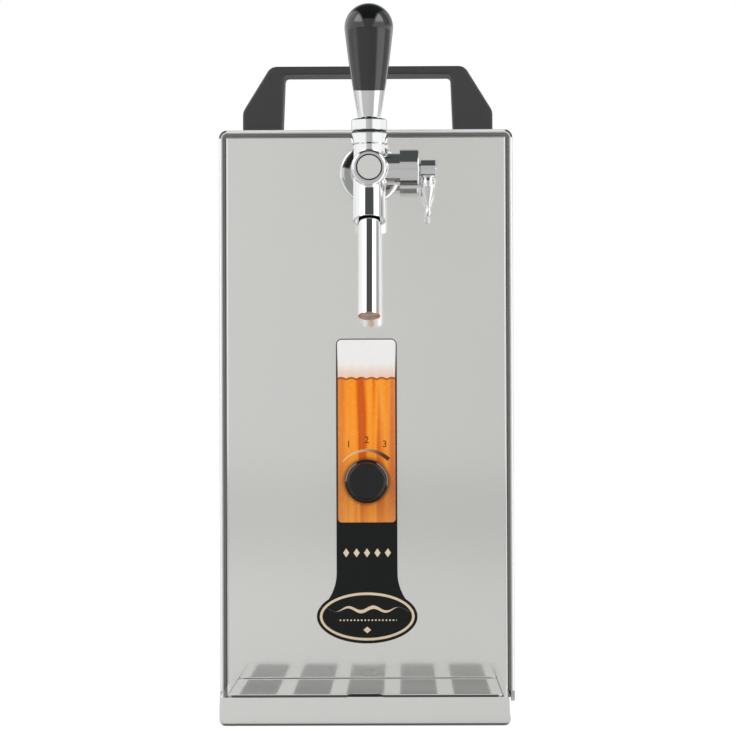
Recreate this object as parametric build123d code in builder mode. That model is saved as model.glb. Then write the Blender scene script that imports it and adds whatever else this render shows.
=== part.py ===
from build123d import *
import os
from math import cos, radians, sin, sqrt, tan

os.makedirs("parts", exist_ok=True)

# A slim counter-top beer cooler with its tap, drip tray and built-in refrigeration.
# Millimetres. The front faces -Y, +X is the right-hand side seen from the front, and z = 0 is the counter.

# Clearances
fixed_fit = 0.1  # radial play of parts that are fastened or pushed together
running_fit = 0.05  # radial play of shafts, balls and plungers that move
air_gap = 0.3  # play between faces that move past each other

# Casing
body_width = 175.0
body_depth = 266.0
body_height = 340.0
foot_height = 3.5
foot_chamfer = foot_height / 5
sheet = 1.0
corner_radius = 5.0
hem_width = 2.2
hem_depth = 6.0
seam = 1.2
panel_return = 14.0
panel_edge_radius = 2.0
rear_lip = 11.5
rear_sheet = 1.2
pan_sheet = 1.2
pan_flange = 15.0
pan_play = 0.2

# Side vents
vent_length = 44.0
vent_width = 4.0
vent_pitch_y = 56.0
vent_pitch_z = 10.0
vent_columns = 2
vent_rows = 10

# Feet
foot_radius = 11.0
foot_stem_radius = 4.0
foot_barb_radius = 6.0
foot_barb_height = 2.0
foot_inset_x = 19.5
foot_inset_y = 14.0

# Carry handle
handle_side_inset = 8.5
handle_splay = 17.7
handle_foot_width = 24.5
handle_shoulder_height = 22.5
handle_height = 51.2
handle_bar = 5.2
handle_grip_draft = 1.8
handle_depth = 30.0
handle_setback = 115.0
handle_shoulder_radius = 8.0
handle_corner_radius = 7.0
handle_grip_radius = 2.5
handle_edge_radius = 1.5
handle_bolt_spacing = 15.0
handle_bolt_inset = 12.5

# Bolts and screws
bolt_radius = 2.5
bolt_head_radius = 4.5
bolt_head_height = 3.0
handle_bolt_length = 16.0
screw_radius = 2.0
screw_head_radius = 3.6
screw_head_height = 2.0
screw_length = 8.0
screw_rise = 28.0
screw_drop = 24.0

# Printed strip
label_width = 36.2
label_thickness = 0.4
label_drop = 124.6
label_corner_radius = 3.6
label_flare_height = 26.0
label_flare_rise = 10.3
label_oval_height = 50.2
label_oval_half_width = 29.9
label_oval_half_height = 16.0

# Tap
tap_offset_x = 2.6
tap_drop = 26.5
tap_reach = 36.0
escutcheon_radius = 18.0
escutcheon_thickness = 4.0
escutcheon_edge = 3.2
shank_radius = 8.0
shank_bore = 3.2
shank_tail = 34.0
shank_collar_radius = 11.5
shank_collar = 5.0
shank_thread = 10.0
gasket_radius = 13.0
gasket_thickness = 2.0
shank_nut_flats = 24.0
shank_nut_height = 8.0
tap_radius = 10.4
tap_nose = 16.0
cast_radius = 1.0
nose_radius = 2.0
front_cap_radius = 7.1
front_cap_depth = 4.8
front_cap_groove = 0.4
front_cap_proud = 0.3
barrel_radius = 9.5
barrel_length = 33.0
barrel_recess_radius = 8.4
barrel_recess = 3.0
barrel_socket = 9.0
spout_radius = 6.4
spout_wall = 1.0
spout_reach = 92.6
spout_lean = 20.0
neck_radius = 9.2
neck_length = 17.8

# Tap bonnet and lever
stub_radius = 9.2
stub_height = 14.2
thread_radius = 8.0
pivot_height = 25.5
ball_radius = 5.0
seat_step = 1.5
lower_nut_radius = 10.7
upper_nut_radius = 10.4
ring_nut_height = 7.1
ring_nut_gap = 0.8
ring_nut_chamfer = 0.8
lip_height = 1.9
lip_opening = 4.75
bowl_radius = 9.3
bowl_floor = -0.4
lever_lean = 7.0
stem_radius = 3.0
stem_into_grip = 15.0
ferrule_start = 4.2
ferrule_end = 20.6
ferrule_foot_radius = 6.5
ferrule_top_radius = 9.25
grip_length = 50.6
grip_widest_radius = 14.2
grip_bulge = 0.3
finger_length = 21.5
finger_radius = 1.6
finger_ball_radius = 2.2
finger_play = 0.4
lever_forward = 16.0
lever_back = 8.0
plunger_radius = 5.5
plunger_front = 7.5
plunger_back = 7.0
plunger_groove_floor = 1.6

# Compensator
compensator_radius = 11.4
compensator_length = 11.2
compensator_wall = 2.0
compensator_edge = 1.0
plug_radius = 5.0
plug_length = 7.0
plug_start = 9.0
plug_cone = 2.0
spindle_radius = 3.0
spindle_inside = 12.2
hub_radius = 5.3
hub_length = 9.9
teardrop_start = 4.0
teardrop_neck_radius = 2.3
teardrop_radius = 3.3
teardrop_widest = 14.5
teardrop_waist_radius = 1.5
teardrop_waist = 23.5
teardrop_bead_radius = 1.9
teardrop_end = 28.0

# Thermostat
dial_height = 130.5
thermostat_width = 40.0
thermostat_depth = 30.0
thermostat_height = 36.0
bush_radius = 5.0
bush_reach = 3.6
dial_nut_flats = 14.0
dial_nut_height = 2.5
dial_spindle_radius = 3.0
dial_spindle_reach = 12.0
dial_spindle_inside = 12.0
knob_gap = 0.6
knob_skirt_radius = 13.0
knob_skirt = 2.2
knob_radius = 11.6
knob_face_radius = 10.9
knob_length = 13.0
knob_pocket_radius = 9.5
knob_pocket = 3.6
knob_edge = 0.8
bulb_radius = 3.5
bulb_length = 60.0
bulb_level = 11.0
bulb_x = -10.0
bulb_tube_radius = 1.2
bulb_tube_setback = 28.0
bulb_tube_bend = 10.0

# Cold block
shelf_level = 194.8
shelf_inset = 22.5
block_depth = 102.0
block_setback = 80.0
insulation_wall = 15.0
insulation_headroom = 16.5
insulation_side_gap = 24.5
insulation_cover = 14.0
port_play = 0.3
beer_radius = 4.0
beer_wall = 0.8
beer_drop = 26.0
beer_margin = 11.0
beer_passes = 5
beer_stub = 8.0
evaporator_radius = 3.2
evaporator_wall = 0.7
evaporator_margin = 7.0
evaporator_level = 29.0
evaporator_passes = 6
evaporator_stub = 10.0
coil_margin = 12.0
feed_bend = 7.0
feed_rise_setback = 48.0
shelf_sheet = 1.2
shelf_flange = 12.8
shelf_window_inset = 12.0
shelf_window_setback = 200.0
shelf_window_depth = 55.0

# Compressor and its lines
compressor_x = -22.0
compressor_from_rear = 71.0
compressor_radius = 48.0
compressor_height = 125.0
compressor_shoulder = 28.0
compressor_foot_radius = 8.0
compressor_plate = 100.0
compressor_plate_thickness = 2.5
compressor_bolt_spacing = 84.0
mount_height = 12.0
mount_radius = 8.0
port_radius = 5.0
port_x = 18.0
port_y = 27.0
port_rise = 2.0
relay_width = 32.0
relay_height = 46.0
relay_depth = 24.0
relay_floor = 58.0
relay_pad = 52.0
line_radius = 3.2
line_wall = 0.7
suction_bend = 10.0
discharge_rise = 24.0
discharge_bend = 13.0
discharge_sweep = 20.0
discharge_drop_bend = 8.0
discharge_setback = 168.0
liquid_bend = 12.0
drier_radius = 9.0
drier_length = 60.0
drier_cone = 10.0
drier_setback = 180.0
drier_floor = 34.0
capillary_radius = 1.0
capillary_setback = 215.0
capillary_start_rise = 56.0
capillary_end_rise = 84.0
capillary_bend = 12.0
capillary_end_bend = 7.0

# Condenser and fan
condenser_side_gap = 8.0
condenser_width = 22.0
condenser_depth = 120.0
condenser_height = 120.0
condenser_setback = 22.0
fin_thickness = 0.6
fin_count = 21
fin_lift = 3.0
end_plate = 1.2
condenser_pitch = 20.0
condenser_passes = 6
condenser_level = 11.3
condenser_bend_reach = 10.0
condenser_stub = 14.0
fan_size = 120.0
fan_depth = 25.0
fan_gap = 0.5
fan_bore = 57.0
fan_corner = 6.0
strut_thickness = 4.0
strut_width = 6.0
strut_hub_radius = 20.0
motor_radius = 18.0
motor_length = 7.0
fan_shaft_radius = 1.5
fan_shaft_inside = 6.0
fan_hub_gap = 1.0
fan_hub_radius = 19.0
fan_hub_length = 11.0
blade_count = 7
blade_tip = 54.0
blade_root = 2.0
blade_chord = 22.0
blade_thickness = 1.6
blade_angle = 35.0
guard_wire = 1.0
guard_ring_step = 10.0
guard_rings = 5
guard_rim = 58.0

# Air pump
pump_side_gap = 31.5
pump_setback = 67.5
pump_plate_width = 46.0
pump_plate_depth = 84.0
pump_plate_thickness = 2.0
pump_mount_height = 8.0
pump_mount_radius = 6.0
pump_mount_spacing_x = 32.0
pump_mount_spacing_y = 60.0
pump_motor_radius = 19.0
pump_motor_length = 58.0
pump_head_width = 44.0
pump_head_depth = 24.0
pump_head_height = 50.0
pump_edge = 3.0
nipple_radius = 2.3
nipple_length = 8.0
hose_radius = 4.0
hose_bore = 2.4
hose_side_gap = 12.5
hose_rise = 36.0
hose_shift_height = 150.0
hose_bend = 40.0
hose_turn = 28.0
hose_end_setback = 190.0
hose_join_setback = 222.0

# Rear fittings
air_fitting_side_gap = 24.5
air_fitting_level = 250.0
fitting_flange_radius = 9.0
fitting_flange = 8.5
fitting_thread_radius = 6.9
fitting_thread = 11.0
fitting_tail_radius = 5.6
fitting_tail = 24.0
fitting_tube_radius = 4.8
fitting_tube_depth = 21.5
fitting_waterway = 3.0
collet_radius = 6.0
collet_pocket = 9.0
collet_bore = 4.85
collet_inside = 7.0
collet_gap = 2.6
collet_flange_radius = 7.8
collet_flange = 1.6
fitting_nut_radius = 10.0
fitting_nut = 6.0

# Power inlet and switches
inlet_side_gap = 38.5
inlet_level = 52.0
inlet_flange_width = 46.0
inlet_flange_height = 24.0
inlet_flange = 2.5
inlet_body_width = 28.0
inlet_body_height = 20.0
inlet_body_depth = 22.0
inlet_recess_width = 24.0
inlet_recess_height = 16.0
inlet_recess_depth = 16.0
inlet_corner = 3.0
inlet_pin_width = 2.0
inlet_pin_height = 4.0
inlet_pin_length = 12.0
inlet_pin_spacing = 14.0
inlet_pin_drop = 1.0
wire_spread = 4.0
switch_levels = (95.0, 130.0)
switch_flange_width = 15.0
switch_flange_height = 21.0
switch_flange = 2.0
switch_body_width = 13.0
switch_body_height = 19.0
switch_body_depth = 15.0
switch_window_width = 10.0
switch_window_height = 15.6
switch_window_depth = 9.0
rocker_play = 0.3
rocker_height = 14.0
rocker_tilt = 7.0
rocker_pivot = 3.0
rocker_crest = 3.6
rocker_dish = 1.2
rocker_pin_radius = 1.0

# Wiring
wire_radius = 1.2
wire_bend = 7.0
wire_inlet_loop = 11.0
wire_switch_loop = 15.0
wire_run_level = 184.0

# Drip tray
tray_side_inset = 6.5
tray_depth = 122.0
tray_height = 16.1
tray_sheet = 0.9
tray_rim = 3.6
tray_edge_radius = 4.0
tray_corner_radius = 1.2
grid_play = 0.5
grid_sheet = 1.2
grid_proud = 1.0
grid_columns = 5
grid_rows = 14
grid_side_margin = 6.15
grid_pitch_y = 7.4
slot_length = 21.5
slot_width = 4.2
notch_radius = 10.0

# Places worked out from the sizes above
half_width = body_width / 2
inner_half = half_width - sheet
casing_top = foot_height + body_height
rear_reach = fitting_flange + collet_gap + collet_flange - sheet
total_depth = tray_depth + air_gap + body_depth + rear_reach
front = tray_depth + air_gap - total_depth / 2
rear = front + body_depth
floor_top = foot_height + pan_sheet
roof = casing_top - sheet
panel_half = half_width - hem_width - seam
panel_top = casing_top - hem_width - seam
panel_back = front + sheet
rear_panel_out = rear - sheet
rear_panel_in = rear_panel_out - rear_sheet
handle_half_width = half_width - handle_side_inset
handle_top_half_width = handle_half_width - handle_splay
handle_grip_half_width = handle_half_width - handle_foot_width
handle_bolt_offset = handle_half_width - handle_bolt_inset
condenser_x = inner_half - condenser_side_gap - condenser_width / 2
pump_x = pump_side_gap - inner_half
hose_x = hose_side_gap - inner_half
air_fitting_x = air_fitting_side_gap - inner_half
inlet_x = inner_half - inlet_side_gap
switch_x = inlet_x
shelf_half_width = inner_half - shelf_inset
shelf_window_half_width = shelf_half_width - shelf_window_inset
shell_floor = shelf_level + shelf_sheet
shell_top = roof - insulation_headroom
shell_half = inner_half - insulation_side_gap
block_width = 2 * (shell_half - insulation_wall)
block_floor = shell_floor + insulation_wall
block_top = shell_top - insulation_wall
block_height = block_top - block_floor
beer_pitch = (block_width - 2 * beer_margin) / (beer_passes - 1)
beer_fitting_x = beer_margin - block_width / 2
evaporator_pitch = (block_width - 2 * evaporator_margin) / (evaporator_passes - 1)
tray_width = body_width - 2 * tray_side_inset


def upright(y):
    """A plane facing the front, with x to the right and y upwards."""
    return Plane.XZ.offset(-y)


def sideways(x):
    """A plane facing right, with x towards the back and y upwards."""
    return Plane.YZ.offset(x)


def along(origin, direction):
    """A plane through an axis that lies at one x, with its y along the axis."""
    return Plane(origin=origin, x_dir=(1, 0, 0), z_dir=Vector(1, 0, 0).cross(Vector(*direction)))


def ring(radius, bore):
    """A round profile with a hole."""
    Circle(radius)
    Circle(bore, mode=Mode.SUBTRACT)


def run_tube(points, bends, radius, bore=0, mode=Mode.ADD):
    """A tube of straight runs joined by arcs."""
    with BuildLine(mode=Mode.PRIVATE) as path:
        if bends:
            FilletPolyline(*points, radius=bends)
        else:
            Line(*points)
    with BuildSketch(Plane(origin=path.line @ 0, z_dir=path.line % 0)) as section:
        Circle(radius)
        if bore:
            Circle(bore, mode=Mode.SUBTRACT)
    sweep(section.sketch, path=path.line, mode=mode)


def serpentine(start, lanes, near, far, stub_far, along_z=False):
    """The corners of a tube that runs to and fro along Y, one lane after another."""
    points = [start]
    for lane, place in enumerate(lanes):
        turn = near if lane % 2 == 0 else far
        here = (start[0], turn, place) if along_z else (place, turn, start[2])
        points.append(here)
        if lane + 1 < len(lanes):
            following = lanes[lane + 1]
            points.append((start[0], turn, following) if along_z else (following, turn, start[2]))
    points[-1] = (points[-1][0], stub_far, points[-1][2])
    return points


def arch(y, thickness, depth):
    """A length of the casing's inverted U, from y towards the back."""
    with BuildSketch(upright(y)) as outline:
        with Locations((0, foot_height + body_height / 2)):
            Rectangle(body_width, body_height)
        fillet(vertices().group_by(Axis.Y)[-1], corner_radius)
        with BuildSketch(mode=Mode.PRIVATE) as inside:
            with Locations((0, foot_height + (body_height - thickness) / 2)):
                Rectangle(body_width - 2 * thickness, body_height - thickness)
            fillet(vertices().group_by(Axis.Y)[-1], max(corner_radius - thickness, sheet))
        add(inside.sketch, mode=Mode.SUBTRACT)
    extrude(outline.sketch, amount=-depth)


# ---- Casing -------------------------------------------------------------------------------------

foot_places = [
    (side * (half_width - foot_inset_x), y)
    for side in (-1, 1)
    for y in (front + foot_inset_y, rear - foot_inset_y)
]
screw_places = [
    (side * (half_width - rear_lip / 2), z)
    for side in (-1, 1)
    for z in (foot_height + screw_rise, foot_height + body_height / 2, casing_top - screw_drop)
]
vent_y = front + condenser_setback + condenser_depth / 2
vent_z = floor_top + condenser_height / 2

compressor_y = rear - compressor_from_rear
compressor_bolts = [
    (compressor_x + i * compressor_bolt_spacing / 2, compressor_y + j * compressor_bolt_spacing / 2)
    for i in (-1, 1)
    for j in (-1, 1)
]
pump_y = front + pump_setback
pump_mounts = [
    (pump_x + i * pump_mount_spacing_x / 2, pump_y + j * pump_mount_spacing_y / 2)
    for i in (-1, 1)
    for j in (-1, 1)
]

with BuildPart() as base_pan:
    with BuildSketch(Plane.XY.offset(foot_height)):
        with Locations((0, (front + rear_panel_out) / 2)):
            Rectangle(2 * (inner_half - pan_play), rear_panel_out - front)
        hem_notch_depth = hem_depth + pan_play
        with Locations((0, front + hem_notch_depth / 2)):
            with GridLocations(2 * (half_width - hem_width - pan_play + hem_width / 2), 0, 2, 1):
                Rectangle(hem_width, hem_notch_depth, mode=Mode.SUBTRACT)
    extrude(amount=pan_sheet)
    with BuildSketch(Plane.XY.offset(floor_top)):
        flange_start = front + panel_return + seam
        for side in (-1, 1):
            with Locations((side * (inner_half - pan_play - pan_sheet / 2), (flange_start + rear_panel_in) / 2)):
                Rectangle(pan_sheet, rear_panel_in - flange_start)
    extrude(amount=pan_flange)
    with BuildSketch(Plane.XY.offset(foot_height)):
        with Locations(*foot_places):
            Circle(foot_stem_radius + fixed_fit)
        with Locations(*compressor_bolts):
            Circle(bolt_radius + fixed_fit)
    extrude(amount=pan_sheet, mode=Mode.SUBTRACT)

with BuildPart() as rubber_feet:
    with BuildSketch(Plane.XY):
        with Locations(*foot_places):
            Circle(foot_radius)
    extrude(amount=foot_height)
    with BuildSketch(Plane.XY.offset(foot_height)):
        with Locations(*foot_places):
            Circle(foot_stem_radius)
    extrude(amount=pan_sheet)
    with BuildSketch(Plane.XY.offset(floor_top)):
        with Locations(*foot_places):
            Circle(foot_barb_radius)
    extrude(amount=foot_barb_height)
    chamfer(rubber_feet.edges().group_by(Axis.Z)[0], foot_chamfer)

tap_x = tap_offset_x
tap_z = casing_top - tap_drop
tap_y = front - tap_reach
dial_z = dial_height + foot_height
label_thick_front = front - label_thickness

with BuildPart() as front_panel:
    with BuildSketch(upright(front)):
        with Locations((0, (floor_top + panel_top) / 2)):
            Rectangle(2 * panel_half, panel_top - floor_top)
    extrude(amount=-panel_return)
    face_edges = front_panel.edges().group_by(Axis.Y)[0]
    fillet(face_edges.sort_by(Axis.Z)[1:], panel_edge_radius)
    openings = [
        front_panel.faces().sort_by(Axis.Y)[-1],
        front_panel.faces().sort_by(Axis.Z)[0],
    ]
    offset(amount=-sheet, openings=openings)
    with BuildSketch(upright(front)):
        with Locations((tap_x, tap_z)):
            Circle(shank_radius + fixed_fit)
        with Locations((0, dial_z)):
            Circle(bush_radius + fixed_fit)
    extrude(amount=-sheet, mode=Mode.SUBTRACT)

with BuildPart() as casing_wrap:
    arch(front, hem_width, hem_depth)
    arch(front + hem_depth, sheet, body_depth - hem_depth - sheet)
    arch(rear - sheet, rear_lip, sheet)
    with BuildSketch(sideways(-half_width)):
        with Locations((vent_y, vent_z)):
            with GridLocations(vent_pitch_y, vent_pitch_z, vent_columns, vent_rows):
                SlotOverall(vent_length, vent_width)
    extrude(amount=body_width, mode=Mode.SUBTRACT)
    with BuildSketch(upright(rear)):
        with Locations(*screw_places):
            Circle(screw_radius + fixed_fit)
    extrude(amount=sheet, mode=Mode.SUBTRACT)
    with BuildSketch(Plane.XY.offset(roof)):
        with Locations((0, front + handle_setback + handle_depth / 2)):
            with GridLocations(2 * handle_bolt_offset, handle_bolt_spacing, 2, 2):
                Circle(bolt_radius + fixed_fit)
    extrude(amount=sheet, mode=Mode.SUBTRACT)

beer_z = block_top - beer_drop
evaporator_z = block_floor + evaporator_level

with BuildPart() as rear_panel:
    with BuildSketch(upright(rear_panel_out)):
        with Locations((0, (floor_top + roof - pan_play) / 2)):
            Rectangle(2 * (inner_half - pan_play), roof - pan_play - floor_top)
        fillet(vertices().group_by(Axis.Y)[-1], corner_radius)
        with Locations(*screw_places):
            Circle(screw_radius + fixed_fit, mode=Mode.SUBTRACT)
        with Locations((beer_fitting_x, beer_z), (air_fitting_x, air_fitting_level)):
            Circle(fitting_thread_radius + fixed_fit, mode=Mode.SUBTRACT)
        with Locations((inlet_x, inlet_level)):
            Rectangle(
                inlet_body_width + 2 * fixed_fit, inlet_body_height + 2 * fixed_fit, mode=Mode.SUBTRACT
            )
        with Locations(*[(switch_x, level) for level in switch_levels]):
            Rectangle(
                switch_body_width + 2 * fixed_fit, switch_body_height + 2 * fixed_fit, mode=Mode.SUBTRACT
            )
        with Locations((compressor_x, floor_top + compressor_height / 2 + mount_height)):
            with GridLocations(0, vent_pitch_z, 1, vent_rows):
                SlotOverall(vent_length, vent_width, mode=Mode.SUBTRACT)
    extrude(amount=rear_sheet)

with BuildPart() as casing_screws:
    with BuildSketch(upright(rear)):
        with Locations(*screw_places):
            Circle(screw_head_radius)
    extrude(amount=-screw_head_height)
    fillet(casing_screws.edges().group_by(Axis.Y)[-1], screw_head_height / 2)
    with BuildSketch(upright(rear)):
        with Locations(*screw_places):
            Circle(screw_radius)
    extrude(amount=screw_length)

# ---- Carry handle -------------------------------------------------------------------------------

handle_y = front + handle_setback
handle_top = casing_top + handle_height

with BuildPart() as carry_handle:
    with BuildSketch(upright(handle_y)):
        with BuildLine():
            shoulder_z = casing_top + handle_shoulder_height
            Polyline(
                (-handle_half_width, casing_top),
                (-handle_half_width, shoulder_z),
                (-handle_top_half_width, handle_top),
                (handle_top_half_width, handle_top),
                (handle_half_width, shoulder_z),
                (handle_half_width, casing_top),
                close=True,
            )
        make_face()
        fillet(vertices().group_by(Axis.Y)[1], handle_shoulder_radius)
        fillet(vertices().group_by(Axis.Y)[-1], handle_corner_radius)
        with BuildSketch(mode=Mode.PRIVATE) as grip_window:
            with BuildLine():
                Polyline(
                    (-handle_grip_half_width, casing_top),
                    (handle_grip_draft - handle_grip_half_width, handle_top - handle_bar),
                    (handle_grip_half_width - handle_grip_draft, handle_top - handle_bar),
                    (handle_grip_half_width, casing_top),
                    close=True,
                )
            make_face()
            fillet(vertices().group_by(Axis.Y)[-1], handle_grip_radius)
        add(grip_window.sketch, mode=Mode.SUBTRACT)
    extrude(amount=-handle_depth)
    end_faces = carry_handle.faces().filter_by(Axis.Y)
    rims = end_faces.edges().filter_by(lambda e: e.bounding_box().max.Z > casing_top + fixed_fit)
    fillet(rims, handle_edge_radius)
    with BuildSketch(Plane.XY.offset(casing_top)):
        with Locations((0, handle_y + handle_depth / 2)):
            with GridLocations(2 * handle_bolt_offset, handle_bolt_spacing, 2, 2):
                Circle(bolt_radius + fixed_fit)
    extrude(amount=handle_bolt_length, mode=Mode.SUBTRACT)

compressor_plate_top = floor_top + mount_height + compressor_plate_thickness

with BuildPart() as machine_bolts:
    with BuildSketch(Plane.XY.offset(roof)):
        with Locations((0, handle_y + handle_depth / 2)):
            with GridLocations(2 * handle_bolt_offset, handle_bolt_spacing, 2, 2):
                Circle(bolt_radius)
    extrude(amount=handle_bolt_length)
    with BuildSketch(Plane.XY.offset(roof)):
        with Locations((0, handle_y + handle_depth / 2)):
            with GridLocations(2 * handle_bolt_offset, handle_bolt_spacing, 2, 2):
                Circle(bolt_head_radius)
    extrude(amount=-bolt_head_height)
    with BuildSketch(Plane.XY.offset(compressor_plate_top)):
        with Locations(*compressor_bolts):
            Circle(bolt_head_radius)
    extrude(amount=bolt_head_height)
    with BuildSketch(Plane.XY.offset(compressor_plate_top)):
        with Locations(*compressor_bolts):
            Circle(bolt_radius)
    extrude(amount=-(compressor_plate_top - foot_height))

# ---- Printed strip ------------------------------------------------------------------------------

label_top = casing_top - label_drop

with BuildPart() as label_plate:
    with BuildSketch(upright(front)):
        strip_foot = label_oval_height + foot_height
        flare_top = strip_foot + label_flare_height
        with Locations((0, (label_top + strip_foot) / 2)):
            Rectangle(label_width, label_top - strip_foot)
        fillet(vertices().group_by(Axis.Y)[-1], label_corner_radius)
        for side in (-1, 1):
            with BuildLine():
                start = (side * label_width / 2, flare_top)
                flare_reach = label_oval_half_width * sqrt(1 - (label_flare_rise / label_oval_half_height) ** 2)
                end = (side * flare_reach, strip_foot + label_flare_rise)
                TangentArc(start, end, tangent=(0, -1))
                Polyline(end, (0, strip_foot), (0, flare_top), start)
            make_face()
        with Locations((0, strip_foot)):
            Ellipse(label_oval_half_width, label_oval_half_height)
        with Locations((0, dial_z)):
            Circle(bush_radius + fixed_fit, mode=Mode.SUBTRACT)
    extrude(amount=label_thickness)

# ---- Tap ----------------------------------------------------------------------------------------

escutcheon_front = front - escutcheon_thickness
collar_front = escutcheon_front - shank_collar
socket_end = collar_front - shank_thread
nose = tap_y - tap_nose
cap_back = nose + front_cap_depth - front_cap_proud
tap_centre = (tap_x, tap_y, tap_z)
down = (0, -sin(radians(spout_lean)), -cos(radians(spout_lean)))
spout_plane = Plane(origin=tap_centre, x_dir=(1, 0, 0), z_dir=down)
pivot = (tap_x, tap_y, tap_z + pivot_height)
pivot_z = tap_z + pivot_height
lever_axis = (0, -sin(radians(lever_lean)), cos(radians(lever_lean)))
lever_plane = Plane(origin=pivot, x_dir=(1, 0, 0), z_dir=lever_axis)
lever_profile = along(pivot, lever_axis)
nut_seat = tap_z + stub_height
upper_nut_floor = nut_seat + ring_nut_height + ring_nut_gap
upper_nut_top = upper_nut_floor + ring_nut_height
thread_top = pivot_z - seat_step

with BuildPart() as escutcheon:
    with BuildSketch(upright(front)):
        with Locations((tap_x, tap_z)):
            ring(escutcheon_radius, shank_radius + fixed_fit)
    extrude(amount=escutcheon_thickness)
    outer_edge = escutcheon.edges().group_by(Axis.Y)[0].sort_by(SortBy.RADIUS)[-1]
    fillet(outer_edge, escutcheon_edge)

with BuildPart() as tap_shank:
    with BuildSketch(upright(front + shank_tail)):
        with Locations((tap_x, tap_z)):
            ring(shank_radius, shank_bore)
    extrude(amount=front + shank_tail - socket_end)
    with BuildSketch(upright(escutcheon_front)):
        with Locations((tap_x, tap_z)):
            ring(shank_collar_radius, shank_bore)
    extrude(amount=shank_collar)

with BuildPart() as shank_gasket:
    with BuildSketch(upright(panel_back)):
        with Locations((tap_x, tap_z)):
            ring(gasket_radius, shank_radius + fixed_fit)
    extrude(amount=-gasket_thickness)

with BuildPart() as shank_nut:
    with BuildSketch(upright(panel_back + gasket_thickness)):
        with Locations((tap_x, tap_z)):
            RegularPolygon(shank_nut_flats / 2, 6, major_radius=False)
            Circle(shank_radius + fixed_fit, mode=Mode.SUBTRACT)
    extrude(amount=-shank_nut_height)

with BuildPart() as tap_body:
    with BuildSketch(upright(collar_front)):
        with Locations((tap_x, tap_z)):
            Circle(tap_radius)
    extrude(amount=collar_front - nose)
    with BuildSketch(Plane.XY.offset(tap_z)):
        with Locations((tap_x, tap_y)):
            Circle(stub_radius)
    extrude(amount=stub_height)
    with BuildSketch(sideways(tap_x)):
        with Locations((tap_y, tap_z)):
            Circle(neck_radius)
    extrude(amount=neck_length)
    with BuildSketch(spout_plane):
        Circle(barrel_radius)
    extrude(amount=barrel_length)
    with BuildSketch(Plane.XY.offset(nut_seat)):
        with Locations((tap_x, tap_y)):
            Circle(thread_radius)
    extrude(amount=thread_top - nut_seat)
    joins = tap_body.edges().filter_by(lambda edge: edge.geom_type in (GeomType.BSPLINE, GeomType.ELLIPSE))
    fillet(joins, cast_radius)
    fillet(tap_body.edges().filter_by(GeomType.CIRCLE).sort_by(Axis.Y)[0], nose_radius)
    with BuildSketch(upright(collar_front)):
        with Locations((tap_x, tap_z)):
            Circle(shank_radius + fixed_fit)
    extrude(amount=shank_thread, mode=Mode.SUBTRACT)
    with BuildSketch(upright(collar_front)):
        with Locations((tap_x, tap_z)):
            Circle(plunger_radius + running_fit)
    extrude(amount=collar_front - nose, mode=Mode.SUBTRACT)
    with BuildSketch(upright(nose)):
        with Locations((tap_x, tap_z)):
            Circle(front_cap_radius + front_cap_groove)
    extrude(amount=-(cap_back - nose), mode=Mode.SUBTRACT)
    with BuildSketch(sideways(tap_x)):
        with Locations((tap_y, tap_z)):
            Circle(plug_radius + running_fit)
    extrude(amount=neck_length, mode=Mode.SUBTRACT)
    with BuildSketch(spout_plane):
        Circle(spout_radius - spout_wall)
    extrude(amount=barrel_length, mode=Mode.SUBTRACT)
    with BuildSketch(spout_plane.offset(barrel_length)):
        Circle(spout_radius + fixed_fit)
    extrude(amount=-barrel_socket, mode=Mode.SUBTRACT)
    with BuildSketch(spout_plane.offset(barrel_length)):
        Circle(barrel_recess_radius)
    extrude(amount=-barrel_recess, mode=Mode.SUBTRACT)
    with Locations(pivot):
        Sphere(ball_radius + running_fit, mode=Mode.SUBTRACT)
    with BuildSketch(sideways(tap_x)):
        with BuildLine():
            slot_top = ball_radius / 2
            reach = finger_length + finger_ball_radius
            swing = tan(radians(lever_forward))
            swing_back = tan(radians(lever_back))
            side_room = finger_ball_radius + finger_play
            Polyline(
                (tap_y - slot_top * swing_back - side_room, pivot_z - slot_top),
                (tap_y + slot_top * swing + side_room, pivot_z - slot_top),
                (tap_y + reach * swing + side_room, pivot_z - reach),
                (tap_y - reach * swing_back - side_room, pivot_z - reach),
                close=True,
            )
        make_face()
    extrude(amount=finger_ball_radius + finger_play, both=True, mode=Mode.SUBTRACT)

with BuildPart() as tap_front_cap:
    with BuildSketch(upright(cap_back)):
        with Locations((tap_x, tap_z)):
            Circle(front_cap_radius)
    extrude(amount=front_cap_depth)
    chamfer(tap_front_cap.edges().group_by(Axis.Y)[0], front_cap_proud)

with BuildPart() as bonnet_nut:
    with BuildSketch(Plane.XY.offset(nut_seat)):
        with Locations((tap_x, tap_y)):
            ring(lower_nut_radius, thread_radius + fixed_fit)
    extrude(amount=ring_nut_height)
    rims = bonnet_nut.edges().filter_by(GeomType.CIRCLE).group_by(SortBy.RADIUS)[-1]
    chamfer(rims, ring_nut_chamfer)

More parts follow.
